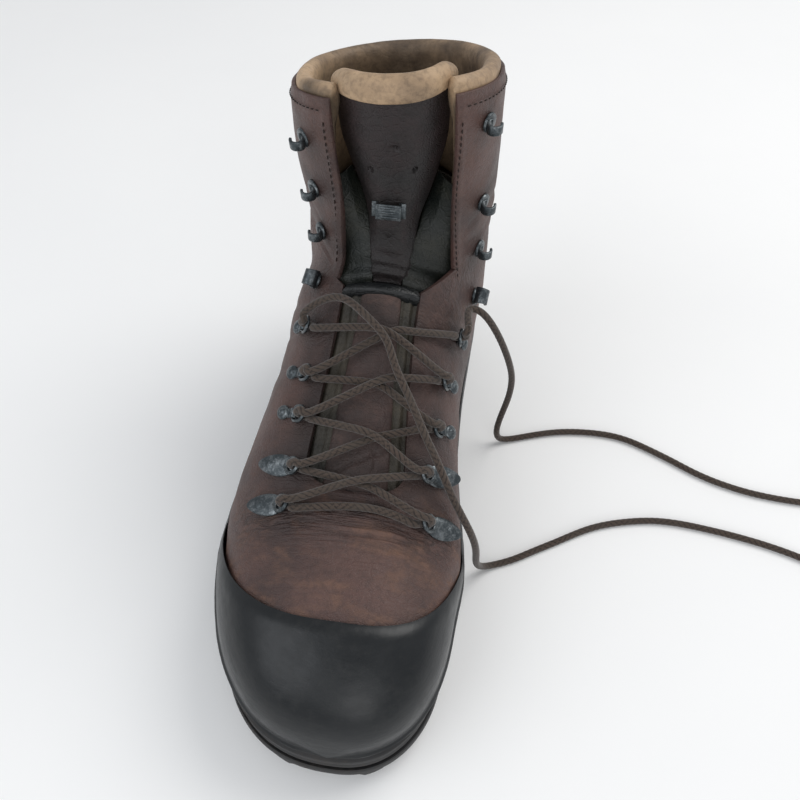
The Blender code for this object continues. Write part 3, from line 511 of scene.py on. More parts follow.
hardware = {
    "gap": 0.3, "ringLength": 8.0, "ringHalfWidth": 3.5, "ringHinge": (-4.0, 0.0, 1.9), "ringTilt": 24.0,
    "plateRows": {lateral: [(2.85, -29), (3.42, -27)], medial: [(2.9, 37), (3.6, 34)]},
    "ringRows": {lateral: [(4.2, -29), (4.85, -31), (6.0, -38)], medial: [(4.35, 40), (5.2, 44), (6.5, 52)]},
    "lockRows": {lateral: (7.9, -42), medial: (8.4, 66)},
    "hookRows": {lateral: [(10.9, -45), (12.4, -48), (13.9, -50)],
                 medial: [(10.9, 62), (12.4, 60), (14.3, 56)]},
}


def hardwarePlace(s, angle, side, lift=hardware["gap"]):
    # x towards the throat, y along it, z out of the leather
    out = Vector(outward(s, angle))
    along = Vector(surface(s + 0.05, angle) - surface(s - 0.05, angle)).normalized() * -side
    inward = along.cross(out).normalized()
    place = Matrix((inward, out.cross(inward), out)).transposed().to_4x4()
    place.translation = Vector(surface(s, angle)) + out * lift
    return place


# the lace: its route is the frame's, threaded through the rings, with two free ends

lace = {
    "radius": 1.72, "braid": 0.15, "sides": 24, "step": 0.62, "strands": 4, "weavePitch": 3.2,
    "lateralLength": 0.464, "medialLength": 0.595, "floorHeight": 1.9,
    "coilCentre": (282.0, 60.0), "coilRadius": 24.0, "coilPitch": 3.8, "coilTurn": 590.0,
    "tipRadius": 9.0, "tipHeading": 22.0, "aglet": 18.0,
    "free": {
        lateral: [(-19, 15, 137), (-8, 12, 142), (3, 4, 141), (13, -3, 135), (19, -12, 127), (27, -22, 118),
                  (35, -32, 108), (44, -41, 95), (52, -48, 81), (60, -52, 66), (64.5, -51, 50), (66, -47, 34),
                  (67, -42, 19), (70, -37, 7.5), (77, -32, 2.2), (87, -27, 1.9), (98, -20, 1.9),
                  (112, -11, 1.9), (128, -1, 1.9), (146, 6, 1.9), (167, 10, 1.9), (190, 9, 1.9),
                  (216, 5, 1.9), (242, -2, 1.9), (262, -13, 1.9), (274, -30, 1.9), (277, -50, 1.9)],
        medial: [(48, 38, 119), (54, 40, 117), (61, 41, 107), (67, 43, 93), (72, 46, 77), (75, 50, 60),
                 (75, 53, 42), (73, 54, 26), (71.5, 52.5, 13), (74, 53, 4.5), (82, 56, 2.0), (95, 61, 1.9),
                 (112, 66, 1.9), (132, 68, 1.9), (149, 66, 1.9), (164, 60, 1.9), (178, 53, 1.9),
                 (194, 45, 1.9), (218, 38, 1.9), (245, 35.5, 1.9), (267.3, 36, 1.9)],
    },
}


def laceAt(side, s, angle):    # a point given from a ring's bar: throatwards, upwards along it, out
    place = hardwarePlace(s, angle, side)
    tilt, reach = math.radians(hardware["ringTilt"]), hardware["ringLength"]
    bar = Vector(hardware["ringHinge"]) + Vector((reach * math.cos(tilt), 0, reach * math.sin(tilt)))
    return lambda inward, along, out: tuple(place @ (bar + Vector((inward, -side * along, out))))


def ringPoints(side, s, angle):    # in low under the bar, up through the hole and back over it
    at = laceAt(side, s, angle)
    return [at(6.5, -1.8, -2.1), at(1.3, -1.0, -2.9), at(-2.2, -0.4, -2.15), at(-3.1, 0.0, 0.0),
            at(-2.2, 0.4, 2.15), at(0.8, 1.0, 3.0)]


def halfLace(firstSide):    # from the middle of the bottom bar up through five rings, side to side
    rows = {side: hardware["plateRows"][side] + hardware["ringRows"][side] for side in sideNames}
    lifts = (6.6, 6.4) if firstSide == lateral else (3.6, 2.6)
    points, side = [], firstSide
    count = len(rows[side])
    for row in range(count):
        here = rows[side][row]
        points += ringPoints(side, *here)
        if row < count - 1:
            points.append(laceAt(side, *here)(6.5, 2.0, 1.2))
            for t, lift in zip((0.4, 0.6), lifts):
                where = mixPair(here, rows[-side][row + 1], t)
                points.append(tuple(surface(*where) + outward(*where) * lift))
        side = -side
    return points, -side


def smoothRoute(points, spacing):    # the natural spline through the points, and where each point falls on it
    knots = np.array(points, float)
    bends = np.array([splineBends(column) for column in knots.T]).T
    route, marks = [], []
    for here, after, bend, nextBend in zip(knots, knots[1:], bends, bends[1:]):
        marks.append(len(route))
        steps = max(1, round(float(np.linalg.norm(after - here)) / spacing))
        slope = after - here - (2 * bend + nextBend) / 6
        for d in np.linspace(0, 1, steps, endpoint=False):
            route.append(here + d * slope + d * d * bend / 2 + d ** 3 * (nextBend - bend) / 6)
    return np.array(route + [knots[-1]]), marks + [len(route)]


def lengthsAlong(route):
    return np.concatenate([[0], np.cumsum(np.linalg.norm(np.diff(route, axis=0), axis=1))])


def evenly(route, step):    # the same route with its points a step apart
    along = lengthsAlong(route)
    spots = np.linspace(0, along[-1], round(along[-1] / step) + 1)
    return np.stack([np.interp(spots, along, column) for column in route.T], axis=-1)


def storedCoil(start):    # two turns side by side on the floor, then the tip curled in beside them
    centre = np.array(lace["coilCentre"])
    turned = np.arange(0, lace["coilTurn"], 2.0)
    radius = lace["coilRadius"] - lace["coilPitch"] * turned / 360
    around = np.radians(turned - 90)
    coil = centre + np.stack([np.cos(around), np.sin(around)], axis=-1) * radius[:, None]
    heading = coil[-1] - coil[-2]
    first = math.atan2(heading[1], heading[0])
    sweep = (math.radians(lace["tipHeading"]) - first) % (2 * math.pi)
    turns = first + np.linspace(0, sweep, 60)[1:]
    pivot = coil[-1] + lace["tipRadius"] * np.array([-math.sin(first), math.cos(first)])
    tip = pivot + lace["tipRadius"] * np.stack([np.sin(turns), -np.cos(turns)], axis=-1)
    flat = np.concatenate([[start[:2]], coil, tip])
    return np.column_stack([flat, np.full(len(flat), lace["floorHeight"])])


def carriedFrames(route):    # headings along a route, with two crosswise directions carried along untwisted
    headings = unit(np.gradient(route, axis=0))
    across = [unit(np.cross(headings[0], [0.0, 0.3, 1.0]))]
    for heading in headings[1:]:
        across.append(unit(across[-1] - heading * np.dot(across[-1], heading)))
    across = np.array(across)
    return across, np.cross(headings, across)


def tubeMesh(route, sides, radii):    # radii(along, turn) in mm, along counted in points, turn from 0 to 1
    count = len(route) - 1
    across, over = carriedFrames(route)
    mesh = gridMesh(count, sides)
    strand = mesh.verts.layers.float.new("strand")
    spot = gridSpots(mesh)
    along = np.round((spot[:, 0] + 0.5) * count).astype(int)
    turn = spot[:, 1] + 0.5
    radius, crown = radii(along, turn)
    around = 2 * math.pi * turn
    sideways = across[along] * np.cos(around)[:, None] + over[along] * np.sin(around)[:, None]
    placeVerts(mesh, route[along] + sideways * radius[:, None])
    for vert, value in zip(mesh.verts, crown):
        vert[strand] = value
    closeEnds(mesh)
    return mesh


def braidRadii(along, turn):    # strands of two hands passing over and under each other
    phase = along * lace["step"] / lace["weavePitch"]
    right, left = lace["strands"] * turn + phase, lace["strands"] * turn - phase
    onTop = (np.floor(right) + np.floor(left)) % 2 < 1
    crown = 1 - (2 * np.where(onTop, right % 1, left % 1) - 1) ** 2
    return lace["radius"] + lace["braid"] * (crown - 0.3), crown


def makeAglet(name, route, node):    # the tip: a plastic sleeve with a crimped waist and a rounded end
    heading = unit(route[-1] - route[-4])
    spots = np.linspace(0, lace["aglet"], 37)
    line = route[-1] - heading * 1.5 + heading * spots[:, None]

    def radii(along, turn):
        t = spots[along] / lace["aglet"]
        radius = 1.95 - 0.18 * hump(t - 0.2, 0.03) - 0.18 * hump(t - 0.3, 0.03) - 0.2 * t
        return radius * np.sqrt(np.clip((1.002 - t) / 0.05, 0.02, 1)), np.zeros(len(t))

    line[:, 2] += 0.1
    return finishMesh(name, tubeMesh(line, 20, radii), finishes["aglet"], "root", [node])


def makeLace():
    lateralHalf, lateralEnd = halfLace(lateral)
    medialHalf, medialEnd = halfLace(medial)
    first = laceAt(lateralEnd, *hardware["ringRows"][lateralEnd][-1])(1.2, 4.0, 4.0)
    last = laceAt(medialEnd, *hardware["ringRows"][medialEnd][-1])(1.2, 4.0, 4.0)
    bar = tuple(surface(2.86, 5) + outward(2.86, 5) * 2.6)
    threaded = [first] + lateralHalf[::-1] + [bar] + medialHalf + [last]
    free = lace["free"]
    route, marks = smoothRoute(free[lateralEnd][::-1] + threaded + free[medialEnd], 0.4)
    start, stop = marks[len(free[lateralEnd])], marks[len(free[lateralEnd]) + len(threaded) - 1]
    held = evenly(route[start:stop + 1], lace["step"])
    finishMesh("threadedLace", tubeMesh(held, lace["sides"], braidRadii), finishes["lace"], "root",
               ["lace_threaded"], sharp=180)
    ends = {
        "lateral": (route[start::-1], ["lace_tail_lateral"], lace["lateralLength"]),
        "medial": (np.concatenate([route[stop:], storedCoil(route[-1])]), ["lace_tail_medial", "lace_coil"],
                   lace["medialLength"]),
    }
    for name, (path, nodes, length) in ends.items():
        path = evenly(path, lace["step"])
        print("free lace end", name, round(float(lengthsAlong(path)[-1]), 1), "mm")
        tail = finishMesh("freeLace_" + name, tubeMesh(path, lace["sides"], braidRadii), finishes["lace"],
                          "root", nodes, sharp=180)
        aglet = makeAglet("agletTip_" + name, path, "aglet_" + name)
        path[0] * mm
        path * mm


makeLace()
print("lace made")


# the upper: one skin with a slit for the throat

def patchMesh(low, high, columns, rows, outer, inner, relief=None, rim=0.6):
    # a sheet on the last between two edge lines; outer and inner are depths, and relief stands proud
    def place(u, v, isOuter):
        s, angle = mixPair(low(u), high(u), v)
        proud = np.where(isOuter, relief(s, angle, u, v), 0.0) if relief else 0.0
        return skin(s, angle, np.where(isOuter, outer, inner) - proud)

    return sheetMesh(columns, rows, place, rim)


def crossRow(s, start, stop):    # an edge line at one section, between two angles
    return lambda u: (np.full_like(u, s), mix(start, stop, u))


def quarterEdges(side, lowAngle, throatAngle, start, height, back, heel, share=0.42):
    corner = float(sectionAtHeight(side * throatAngle, height))

    def low(b):
        angle = side * np.interp(b, [0, 0.85, 1], [lowAngle, lowAngle, back])
        return np.interp(b, [0, 0.85, 1], [start, 9.4, heel]), angle

    def high(b):
        angle = side * np.interp(b, [share, 1], [throatAngle, back])
        return np.where(b < share, mix(start, corner, b / share), sectionAtHeight(angle, height)), angle

    return low, high


upper = {
    "columns": 176, "rows": 66, "toeShare": 0.3, "cornerShare": 0.62, "thickness": 2.4,
    "throatOpens": 3.08, "throatRound": 0.42,
    "creases": [(2.2, 0.4, 8), (2.38, 0.8, 18), (2.54, 1.0, 3), (2.7, 0.9, 24), (3.0, 0.4, 20)],
    "creaseWidth": 0.045,
    "ankleFolds": [(5.6, 0.7), (6.5, 0.9), (7.4, 0.7)],
}


def throatEdge(s):    # angle of the throat's edge, nothing before it opens
    t = np.clip((s - upper["throatOpens"]) / upper["throatRound"], 0, 1)
    return shape["throatAngle"] * np.sqrt(np.clip(1 - (1 - t) ** 2, 0, 1))


def upperRelief(s, angle, spot):
    lumps = noiseField(spot, 0.028, 3.1) * 0.9 + noiseField(spot, 0.075, 9.4) * 0.4
    grain = noiseField(spot, 0.3, 5.2) * 0.09
    wander = noiseField(spot, (0.05, 0.02, 0.02), 11.7) * 0.1
    creases = np.zeros_like(s)
    for place, depth, middle in upper["creases"]:
        reach = hump(angle - middle, 38)
        creases += depth * reach * hump(s - place - wander, upper["creaseWidth"])
    swell = 0.35 * hump(s - 2.55, 0.45) * hump(angle, 55)
    for place, depth in upper["ankleFolds"]:
        leant = s - place - (np.abs(angle) - 70) * 0.016 + wander * 2
        creases += depth * hump(leant, 0.13) * hump(np.abs(angle) - 62, 26)
    return lumps + grain + swell - creases


def upperPlace(u, w, isOuter):
    v = np.abs(w)    # 0 on the throat line, 1 on the sole edge
    side = np.where(w > 0, 1, -1)
    toe, corner = upper["toeShare"], upper["cornerShare"]
    height, back = shape["ankleHeight"], 179.7
    cornerS = sectionAtHeight(side * shape["throatAngle"], height)
    lowS = np.interp(u, [0, toe, 0.85, 1], [0.9, 3.3, 9.4, 10.02])
    lowAngle = np.interp(u, [0, 0.85, 1], [shape["featherAngle"], shape["featherAngle"], back])
    frontS = np.where(u < toe, 0.9 + 2.4 * u / toe, mix(3.3, cornerS, (u - toe) / (corner - toe)))
    ankleAngle = np.interp(u, [corner, 1], [shape["throatAngle"], back])
    ankleS = sectionAtHeight(side * ankleAngle, height)
    highS = np.where(u < corner, frontS, ankleS)
    highAngle = np.where(u < corner, throatEdge(frontS), ankleAngle)
    s, angle = mix(highS, lowS, v), mix(highAngle, lowAngle, v) * side
    spot = surface(s, angle)
    proud = np.where(isOuter, upperRelief(s, angle, spot), 0)
    edge = np.clip(v * 60 / 5, 0, 1)    # the throat edge is skived and turned down a little
    depth = np.where(isOuter, 0.5 * (1 - edge) ** 2, upper["thickness"]) - proud
    return skin(s, angle, depth)


def makeUpper():
    columns, rows = upper["columns"], upper["rows"]
    opens = upper["toeShare"] * (upper["throatOpens"] - 0.9) / 2.4 - 0.5
    mesh = gridMesh(columns, 2 * rows)
    slit = [edge for edge in mesh.edges
            if all(abs(vert.co.y) < 0.0001 and vert.co.x > opens for vert in edge.verts)]
    bmesh.ops.split_edges(mesh, edges=slit)
    for vert in mesh.verts:
        if abs(vert.co.y) < 0.0001 and len(vert.link_faces) < 4 and vert.co.x > -0.499:
            vert.co.y = math.copysign(0.00001, sum(face.calc_center_median().y for face in vert.link_faces))
    bmesh.ops.solidify(mesh, geom=mesh.faces[:], thickness=1.0)
    spot = gridSpots(mesh)
    placeVerts(mesh, upperPlace(spot[:, 0] + 0.5, spot[:, 1] * 2, np.abs(spot[:, 2]) < 0.5))
    bmesh.ops.recalc_face_normals(mesh, faces=mesh.faces)
    roundRims(mesh, 0.6)
    piece = finishMesh("leatherUpper", mesh, finishes["leather"], "root",
                       ["vamp", "quarter_lateral", "quarter_medial"])
    wearLeather(piece)


def hardwareSpots():
    rows = [(side, row) for name in ("plateRows", "ringRows", "hookRows") for side in sideNames
            for row in hardware[name][side]]
    rows += [(side, hardware["lockRows"][side]) for side in sideNames]
    return np.array([surface(*row) for side, row in rows])


def wearLeather(piece, worn=1.0):
    # scuffs on the vamp and low sides, darkening round the hardware and along the throat
    spots = vertexSpots(piece)
    vamp = ease((-38 - spots[:, 1]) / 34)
    low = ease((70 - spots[:, 2]) / 30) * 0.5
    paintTone(piece, worn * np.clip(vamp * 0.75 + low + noiseField(spots, 0.03, 2.2) * 0.3, 0, 1), "wear")
    near = np.min(np.linalg.norm(spots[:, None] - hardwareSpots()[None], axis=-1), axis=1)
    throat = hump(np.abs(spots[:, 0] - 4) - 19, 7) * ease((spots[:, 1] + 52) / 12)
    darkening = hump(near, 11) * 0.55 + throat * 0.4
    paintTone(piece, np.clip(darkening * (1.15 + noiseField(spots, 0.12, 6.6)), 0, 1), "grimeAndShade")
    bent = hump(spots[:, 1] + 66, 12) * ease((spots[:, 2] - 55) / 15)
    ankle = hump(spots[:, 2] - 128, 16) * ease((spots[:, 1] + 10) / 20) * 0.6
    paintTone(piece, np.clip(bent + ankle, 0, 1), "flex")


makeUpper()
print("upper made")


# rand and sole

rand = {
    "edgeDepth": -1.5, "fullDepth": -3.0, "inner": -1.2, "thinning": 0.16, "front": (1.22, 1.98, 2.5),
    "columns": 190, "rows": 80, "foot": 168.0, "sill": 1.1, "sillHeight": 36.0,
}


def randRelief(s, angle, u, v):    # thins to the upper edge, and carries small dents
    spot = surface(s, angle)
    thin = np.clip((1 - v) / rand["thinning"], 0, 1)
    full = rand["edgeDepth"] - rand["fullDepth"]
    # a moulded sill runs round the foot
    below = rand["sillHeight"] - spot[..., 2] - 0.9 * noiseField(spot, 0.03, 3.3)
    step = ease(below / 1.6 + 0.5) * rand["sill"] + hump(below, 0.9) * 0.5
    return (full * (1 - (1 - thin) ** 2.2) + noiseField(spot, 0.05, 8.1) * 0.25
            + noiseField(spot, 0.2, 4.1) * 0.06 + step * (np.abs(angle) < 120))


def randFront(angle):
    start, rise, power = rand["front"]
    return start + rise * np.minimum(np.abs(angle) / 90, 1) ** power


def makeRand():
    foot = rand["foot"]

    def toeAngle(u):
        return mix(-foot, foot, u)

    mesh = patchMesh(lambda u: (np.zeros_like(u), toeAngle(u)),
                     lambda u: (randFront(toeAngle(u)), toeAngle(u)),
                     rand["columns"], rand["rows"], rand["edgeDepth"], rand["inner"], randRelief, 0.5)
    finishMesh("toeRand", mesh, finishes["rand"], "root", ["toe_rand"])
    for side, name in sideNames.items():
        def sideTop(u):
            return mix(2.85, 8.68, u), side * np.interp(u, [0, 0.08, 0.4, 1], [84, 93, 113, 118])

        mesh = patchMesh(lambda u: (mix(2.85, 8.68, u), np.full_like(u, side * foot)), sideTop,
                         150, 24, rand["edgeDepth"], rand["inner"] + 0.2,
                         lambda s, angle, u, v: randRelief(s, angle, u, v) - 0.35, 0.5)
        finishMesh("sideRand_" + name, mesh, finishes["rand"], "root", ["side_rand_" + name])

    def heelLow(b):
        e = 1 - np.abs(2 * b - 1)
        s = np.where(e < 0.7, mix(8.55, 9.5, e / 0.7), mix(9.5, 10.02, (e - 0.7) / 0.3))
        angle = np.where(e < 0.7, foot, mix(foot, 180, (e - 0.7) / 0.3))
        return s, np.where(b < 0.5, angle, 360 - angle)

    def heelHigh(b):
        e = 1 - np.abs(2 * b - 1)
        angle = mix(118, 180, e)
        level = mix(float(surface(8.55, 118)[2]), 56.0, np.minimum(2 * e, 1))
        return sectionAtHeight(angle, level, 8.55), np.where(b < 0.5, angle, 360 - angle)

    mesh = patchMesh(heelLow, heelHigh, 150, 26, rand["edgeDepth"], rand["inner"], randRelief, 0.5)
    finishMesh("heelRand", mesh, finishes["rand"], "root", ["heel_rand"])


def solePoint(s, across, flange):    # the sole's plan, widened by a flange; across runs from -1 to 1
    q = section(s)
    toeStart, toeLength, toePower = shape["toe"]
    heelStart, heelLength, heelPower = shape["heel"]
    ends = (closing(toeStart - q["lowY"], toeLength, toePower)
            * closing(q["lowY"] - heelStart, heelLength, heelPower))
    half = np.where(across > 0, q["soleMedial"], q["soleLateral"]) + flange
    first, final = lastValues[0][0], lastValues[10][0]
    middle, reach = (first + final) / 2, (final - first) / 2
    y = middle + (q["lowY"] - middle) * (reach + flange) / reach
    return across * half * ends + q["wholeShift"], y


def slabMesh(flange, low, high, columns, rows, cuts=0, bulge=None):    # bulge(t) widens the rim at height t
    mesh = gridMesh(columns, rows, True)
    if cuts:
        uprights = [edge for edge in mesh.edges if abs(edge.verts[0].co.z - edge.verts[1].co.z) > 0.5]
        bmesh.ops.subdivide_edges(mesh, edges=uprights, cuts=cuts)
    spot = gridSpots(mesh)
    t = 1 - np.abs(spot[:, 2])
    s = shape["heelEnd"] * 0.5 * (1 - np.cos(math.pi * (spot[:, 1] + 0.5)))
    wide = flange + (bulge(t, s) if bulge else 0)
    x, y = solePoint(s, 2 * spot[:, 0], wide)
    z = mix(low(s), high(s), t)
    placeVerts(mesh, zip(x, y, z))
    weldRims(mesh)
    return mesh


midsole = {"flange": 3.4, "ridges": 3, "ridgeDepth": 0.45, "cuts": 13, "lip": 0.8}


def midsoleBulge(t, s):    # moulded ridges round the edge, and a rounded lip at the top
    ridge = np.abs(np.sin(math.pi * midsole["ridges"] * np.clip(t, 0, 1))) ** 0.5
    lip = hump(t - 0.86, 0.1) * midsole["lip"]
    return np.where((t > 0.01) & (t < 0.99), midsole["ridgeDepth"] * ridge + lip, 0)


tread = {"flange": 4.4, "lugHeight": 4.5, "across": 5, "along": 19, "gap": 0.13, "edge": 0.5,
         "ground": [11, 3.5, 0, 0, 0, 4, 8, 0, 0, 0, 3]}


def groundLine(s):
    return np.interp(s, range(len(tread["ground"])), tread["ground"])


def treadBulge(t, s):
    return np.where((t > 0.01) & (t < 0.99), 0.5 * np.sin(math.pi * t) ** 0.4, 0)


def makeTread():
    # a plate with a lug under every cell of its plan, the edge lugs cut off square with the sole's edge
    mesh = slabMesh(tread["flange"], lambda s: groundLine(s) + tread["lugHeight"],
                    lambda s: section(s)["treadTop"], 30, 170, 7, treadBulge)
    for i in range(tread["along"]):
        for j in range(tread["across"]):
            low = mix(-1, 1, (j + 0.5 * tread["gap"]) / tread["across"])
            high = mix(-1, 1, (j + 1 - 0.5 * tread["gap"]) / tread["across"])
            start = (i + tread["gap"] + 0.25 * (j % 2)) / (tread["along"] + 0.25)
            stop = (i + 1 - tread["gap"] + 0.25 * (j % 2)) / (tread["along"] + 0.25)
            lug = gridMesh(5, 4, True)
            spot = gridSpots(lug)
            top = np.abs(spot[:, 2]) < 0.5
            s = shape["heelEnd"] * 0.5 * (1 - np.cos(math.pi * mix(start, stop, spot[:, 1] + 0.5)))
            shrink = np.where(top, 1.0, 0.97)
            across = np.clip(mix(low, high, spot[:, 0] + 0.5), -0.995, 0.995) * shrink
            x, y = solePoint(s, across, tread["flange"])
            z = np.where(top, groundLine(s) + tread["lugHeight"] + 0.6, groundLine(s) + 0.02)
            if np.ptp(x) < 6 or np.ptp(y) < 4:
                lug.free()
                continue
            placeVerts(lug, zip(x, y, z))
            bmesh.ops.recalc_face_normals(lug, faces=lug.faces)
            roundRims(lug, tread["edge"], 40)
            addTo(mesh, lug)
    finishMesh("luggedSole", mesh, finishes["sole"], "root", ["outsole"], merge=0)


def makeSole():
    mesh = slabMesh(midsole["flange"], lambda s: section(s)["treadTop"] + 0.9,
                    lambda s: section(s)["lowZ"] - 0.6, 24, 150, midsole["cuts"], midsoleBulge)
    finishMesh("midsoleWedge", mesh, finishes["sole"], "root", ["midsole"])
    makeTread()
    mesh = slabMesh(-9.5, lambda s: section(s)["lowZ"] + 4.6, lambda s: section(s)["lowZ"] + 9.0, 30, 110, 3,
                    lambda t, s: 0.6 * np.sin(math.pi * t))
    finishMesh("footbedFelt", mesh, finishes["foam"], "footbed", ["footbed"])


def keepNodes():    # inner pieces keep their own meshes and take a finish
    for node, finish in (("insole_board", "board"), ("shank", "metal"), ("toe_puff", "board"),
                         ("heel_counter", "board")):
        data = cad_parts[node].data
        data.materials.clear()
        data.materials.append(finishes[finish])


makeRand()
makeSole()
keepNodes()
print("rand and sole made")


# lining and tongue

tongue = {
    "wide": 29.0, "panelHalf": 12.5, "panelDepth": 1.9, "base": (3.2, 7.2), "ribs": 1.1, "fold": 7.62,
    "outer": 3.2, "inner": 9.0, "channel": 0.15, "channelDepth": 4.6, "flare": 30.0, "curl": (6.0, 7.0),
}


def tongueEdge(side, s):
    low, high = shape["tongueEdge"][side]
    return side * (mix(low, high, np.clip((s - 8) / 7, 0, 1)) + tongue["flare"] * ease((s - 9.3) / 5.4))


def flapEdge(side, s):
    low, high = shape["flapEdge"][side]
    return side * mix(low, high, ease((s - 7.6) / 6.4))


def baseRelief(s, angle, u, v):    # pleated strips at both sides of the tongue's middle
    fromMiddle = np.abs(np.abs(angle) - 19)
    ribs = np.sin(angle * tongue["ribs"]) * 0.45 * (fromMiddle < 6.5)
    return ribs + noiseField(surface(s, angle), 0.09, 4.4) * 0.5


def panelRelief(s, angle, u, v):    # the tongue's middle: crowned, with cracks where it bends
    spot = surface(s, angle)
    crown = 1.3 * np.sqrt(np.clip(1 - (2 * u - 1) ** 4, 0, 1))
    cracks = 0.0
    for along, depth, lean in ((3.52, 1.0, 0.02), (3.95, 0.8, -0.012), (5.35, 0.5, 0.01)):
        bend = s - along - lean * angle - noiseField(spot, 0.16, along) * 0.06
        cracks = cracks + depth * hump(bend, 0.035)
    lengthwise = angle - 6 - noiseField(spot, 0.2, 1.3) * 2.5
    cracks = cracks + 0.9 * hump(lengthwise, 1.1) * hump(s - 3.6, 0.25)
    return crown + noiseField(spot, 0.07, 7.7) * 0.7 + noiseField(spot, 0.25, 3.3) * 0.15 - cracks


def tongueCurl(u, s):    # how far the tongue's sides curl back from the last, more towards the top
    aside = np.abs(2 * u - 1)
    early, late = tongue["curl"]
    return ease((s - 9.3) / 2.6) * (early * ease(aside / 0.75) + late * aside ** 2)


def upperTongueRelief(s, angle, u, v):    # a padded middle between two dark channels
    spot = surface(s, angle)
    edge = np.minimum(u, 1 - u)
    channel = tongue["channelDepth"] * (1 - ease((edge - 0.02) / tongue["channel"]))
    bottom = 3.2 * (1 - ease(v / 0.12))
    holes = 0.0
    for along, across in ((13.75, 2.5), (13.0, -10.5), (13.1, 13.5)):
        around = ((s - along) * 17) ** 2 + ((angle - across) * 0.82) ** 2
        holes = holes + 2.2 * hump(around, 1.25)
    folds = 0.5 * np.sin((s - 9) * 7 + angle * 0.06) * hump(s - 9.0, 1.1)
    return (noiseField(spot, 0.045, 2.8) * 0.9 + noiseField(spot, 0.14, 6.1) * 0.25 + folds
            - channel - bottom - holes - tongueCurl(u, s))


def foldRelief(s, angle, u, v):    # the glossy roll where the tongue bends at the ankle
    across = 2.8 * np.sin(math.pi * np.clip(v, 0, 1)) ** 0.8
    return across + noiseField(surface(s, angle), (0.04, 0.1, 0.1), 2.2) * 0.5


def makeLiningAndTongue():
    for side, name in sideNames.items():
        low, high = quarterEdges(side, 150.0, shape["throatAngle"] + 8, 3.6, shape["ankleHeight"] - 2, 179.6,
                                 10.3)
        finishMesh("quarterLining_" + name, patchMesh(low, high, 90, 40, 6.6, 7.7, rim=0), finishes["lining"],
                   "root", ["lining_" + name])
    top = float(sectionAtHeight(0, 141.0))
    wide = tongue["wide"]
    mesh = patchMesh(crossRow(2.95, -wide, wide), crossRow(top, -wide, wide), 84, 110, *tongue["base"],
                     baseRelief)
    finishMesh("tongueBase", mesh, finishes["pleat"], "root", ["tongue_lower"])

    def panelEdge(s):
        half = tongue["panelHalf"] * np.interp(s, [3, 5, 8], [1.12, 1.0, 0.82])
        return -half - 1, half + 1

    mesh = patchMesh(crossRow(3.0, *panelEdge(3.0)), crossRow(top + 0.1, *panelEdge(top)), 44, 150,
                     tongue["panelDepth"] + 1.0, 3.9, panelRelief)
    finishMesh("tonguePanel", mesh, finishes["panel"], "root")

    def across(u, s):
        return mix(tongueEdge(lateral, s), tongueEdge(medial, s), u)

    start = tongue["fold"]

    def place(u, v, isOuter):
        s = mix(start, 14.97, v)
        angle = across(u, s)
        outer = tongue["outer"] - upperTongueRelief(s, angle, u, v)
        return skin(s, angle, np.where(isOuter, outer, tongue["inner"] + tongueCurl(u, s)))

    mesh = sheetMesh(90, 150, place, 0.8)
    piece = finishMesh("tongueUpper", mesh, finishes["tongueLeather"], None,
                       ["tongue_upper"])
    # darker towards the bottom
    toneAll(piece, 0.2, lambda spots: ease((175 - spots[:, 2]) / 40) * 0.35)
    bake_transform(piece)
    mesh = patchMesh(crossRow(top - 0.35, -24, 26), crossRow(top + 0.42, -21, 23), 60, 26, 3.6, 6.5,
                     foldRelief)
    finishMesh("tongueFold", mesh, finishes["foldLeather"], "root")


def toneAll(piece, wear, grimeAndShade=lambda spots: np.zeros(len(spots))):    # even wear, and darkening by place: grime with painted shade
    spots = vertexSpots(piece)
    paintTone(piece, np.full(len(spots), wear), "wear")
    paintTone(piece, grimeAndShade(spots), "grimeAndShade")


makeLiningAndTongue()
print("lining and tongue made")


# shaft: leather skins, padded collar, backstay and bellows gussets

shaft = {
    "leatherTop": 0.6, "bendFrom": (0, 0.105, 0), "bendTo": (0, 0.080, 0), "backAngle": 179.6,
    "collar": [(-3.5, 3.2), (-1.4, 2.6), (1.0, 2.4), (3.2, 2.9), (4.7, 4.3), (5.1, 6.5), (3.6, 9.0),
               (-0.2, 10.4), (-6, 10.4), (-14, 9.6), (-30, 9.0), (-60, 8.8), (-60, 3.7), (-30, 3.4),
               (-14, 3.2), (-7.5, 3.2)],
    "tongueRoll": [(-2.6, 3.6), (-1.4, 2.2), (1.2, 1.6), (4.2, 2.0), (6.6, 3.4), (8.0, 5.6), (8.0, 8.2),
                   (6.6, 10.4), (3.8, 11.6), (-0.5, 11.8), (-5, 11.2), (-8, 10.2), (-7.5, 8.2), (-5, 6.0)],
}


def cuffSection(height, angle):    # section at a height in mm along the surface above the cuff line
    top, below = (surface(np.full_like(angle, shape["cuff"] - step), angle) for step in (0, 1))
    scale = np.linalg.norm(top - below, axis=-1)
    return shape["cuff"] + height / scale


def closedCurve(points, turn):    # smooth closed curve through points, at turns from 0 to 1
    points = np.array(points, float)
    t = (turn % 1) * len(points)
    i, f = np.floor(t).astype(int), (t % 1)[..., None]
    before, here, after, beyond = (points[(i + k) % len(points)] for k in (-1, 0, 1, 2))
    return 0.5 * (2 * here + (after - before) * f + (2 * before - 5 * here + 4 * after - beyond) * f ** 2
                  + (3 * here - before - 3 * after + beyond) * f ** 3)


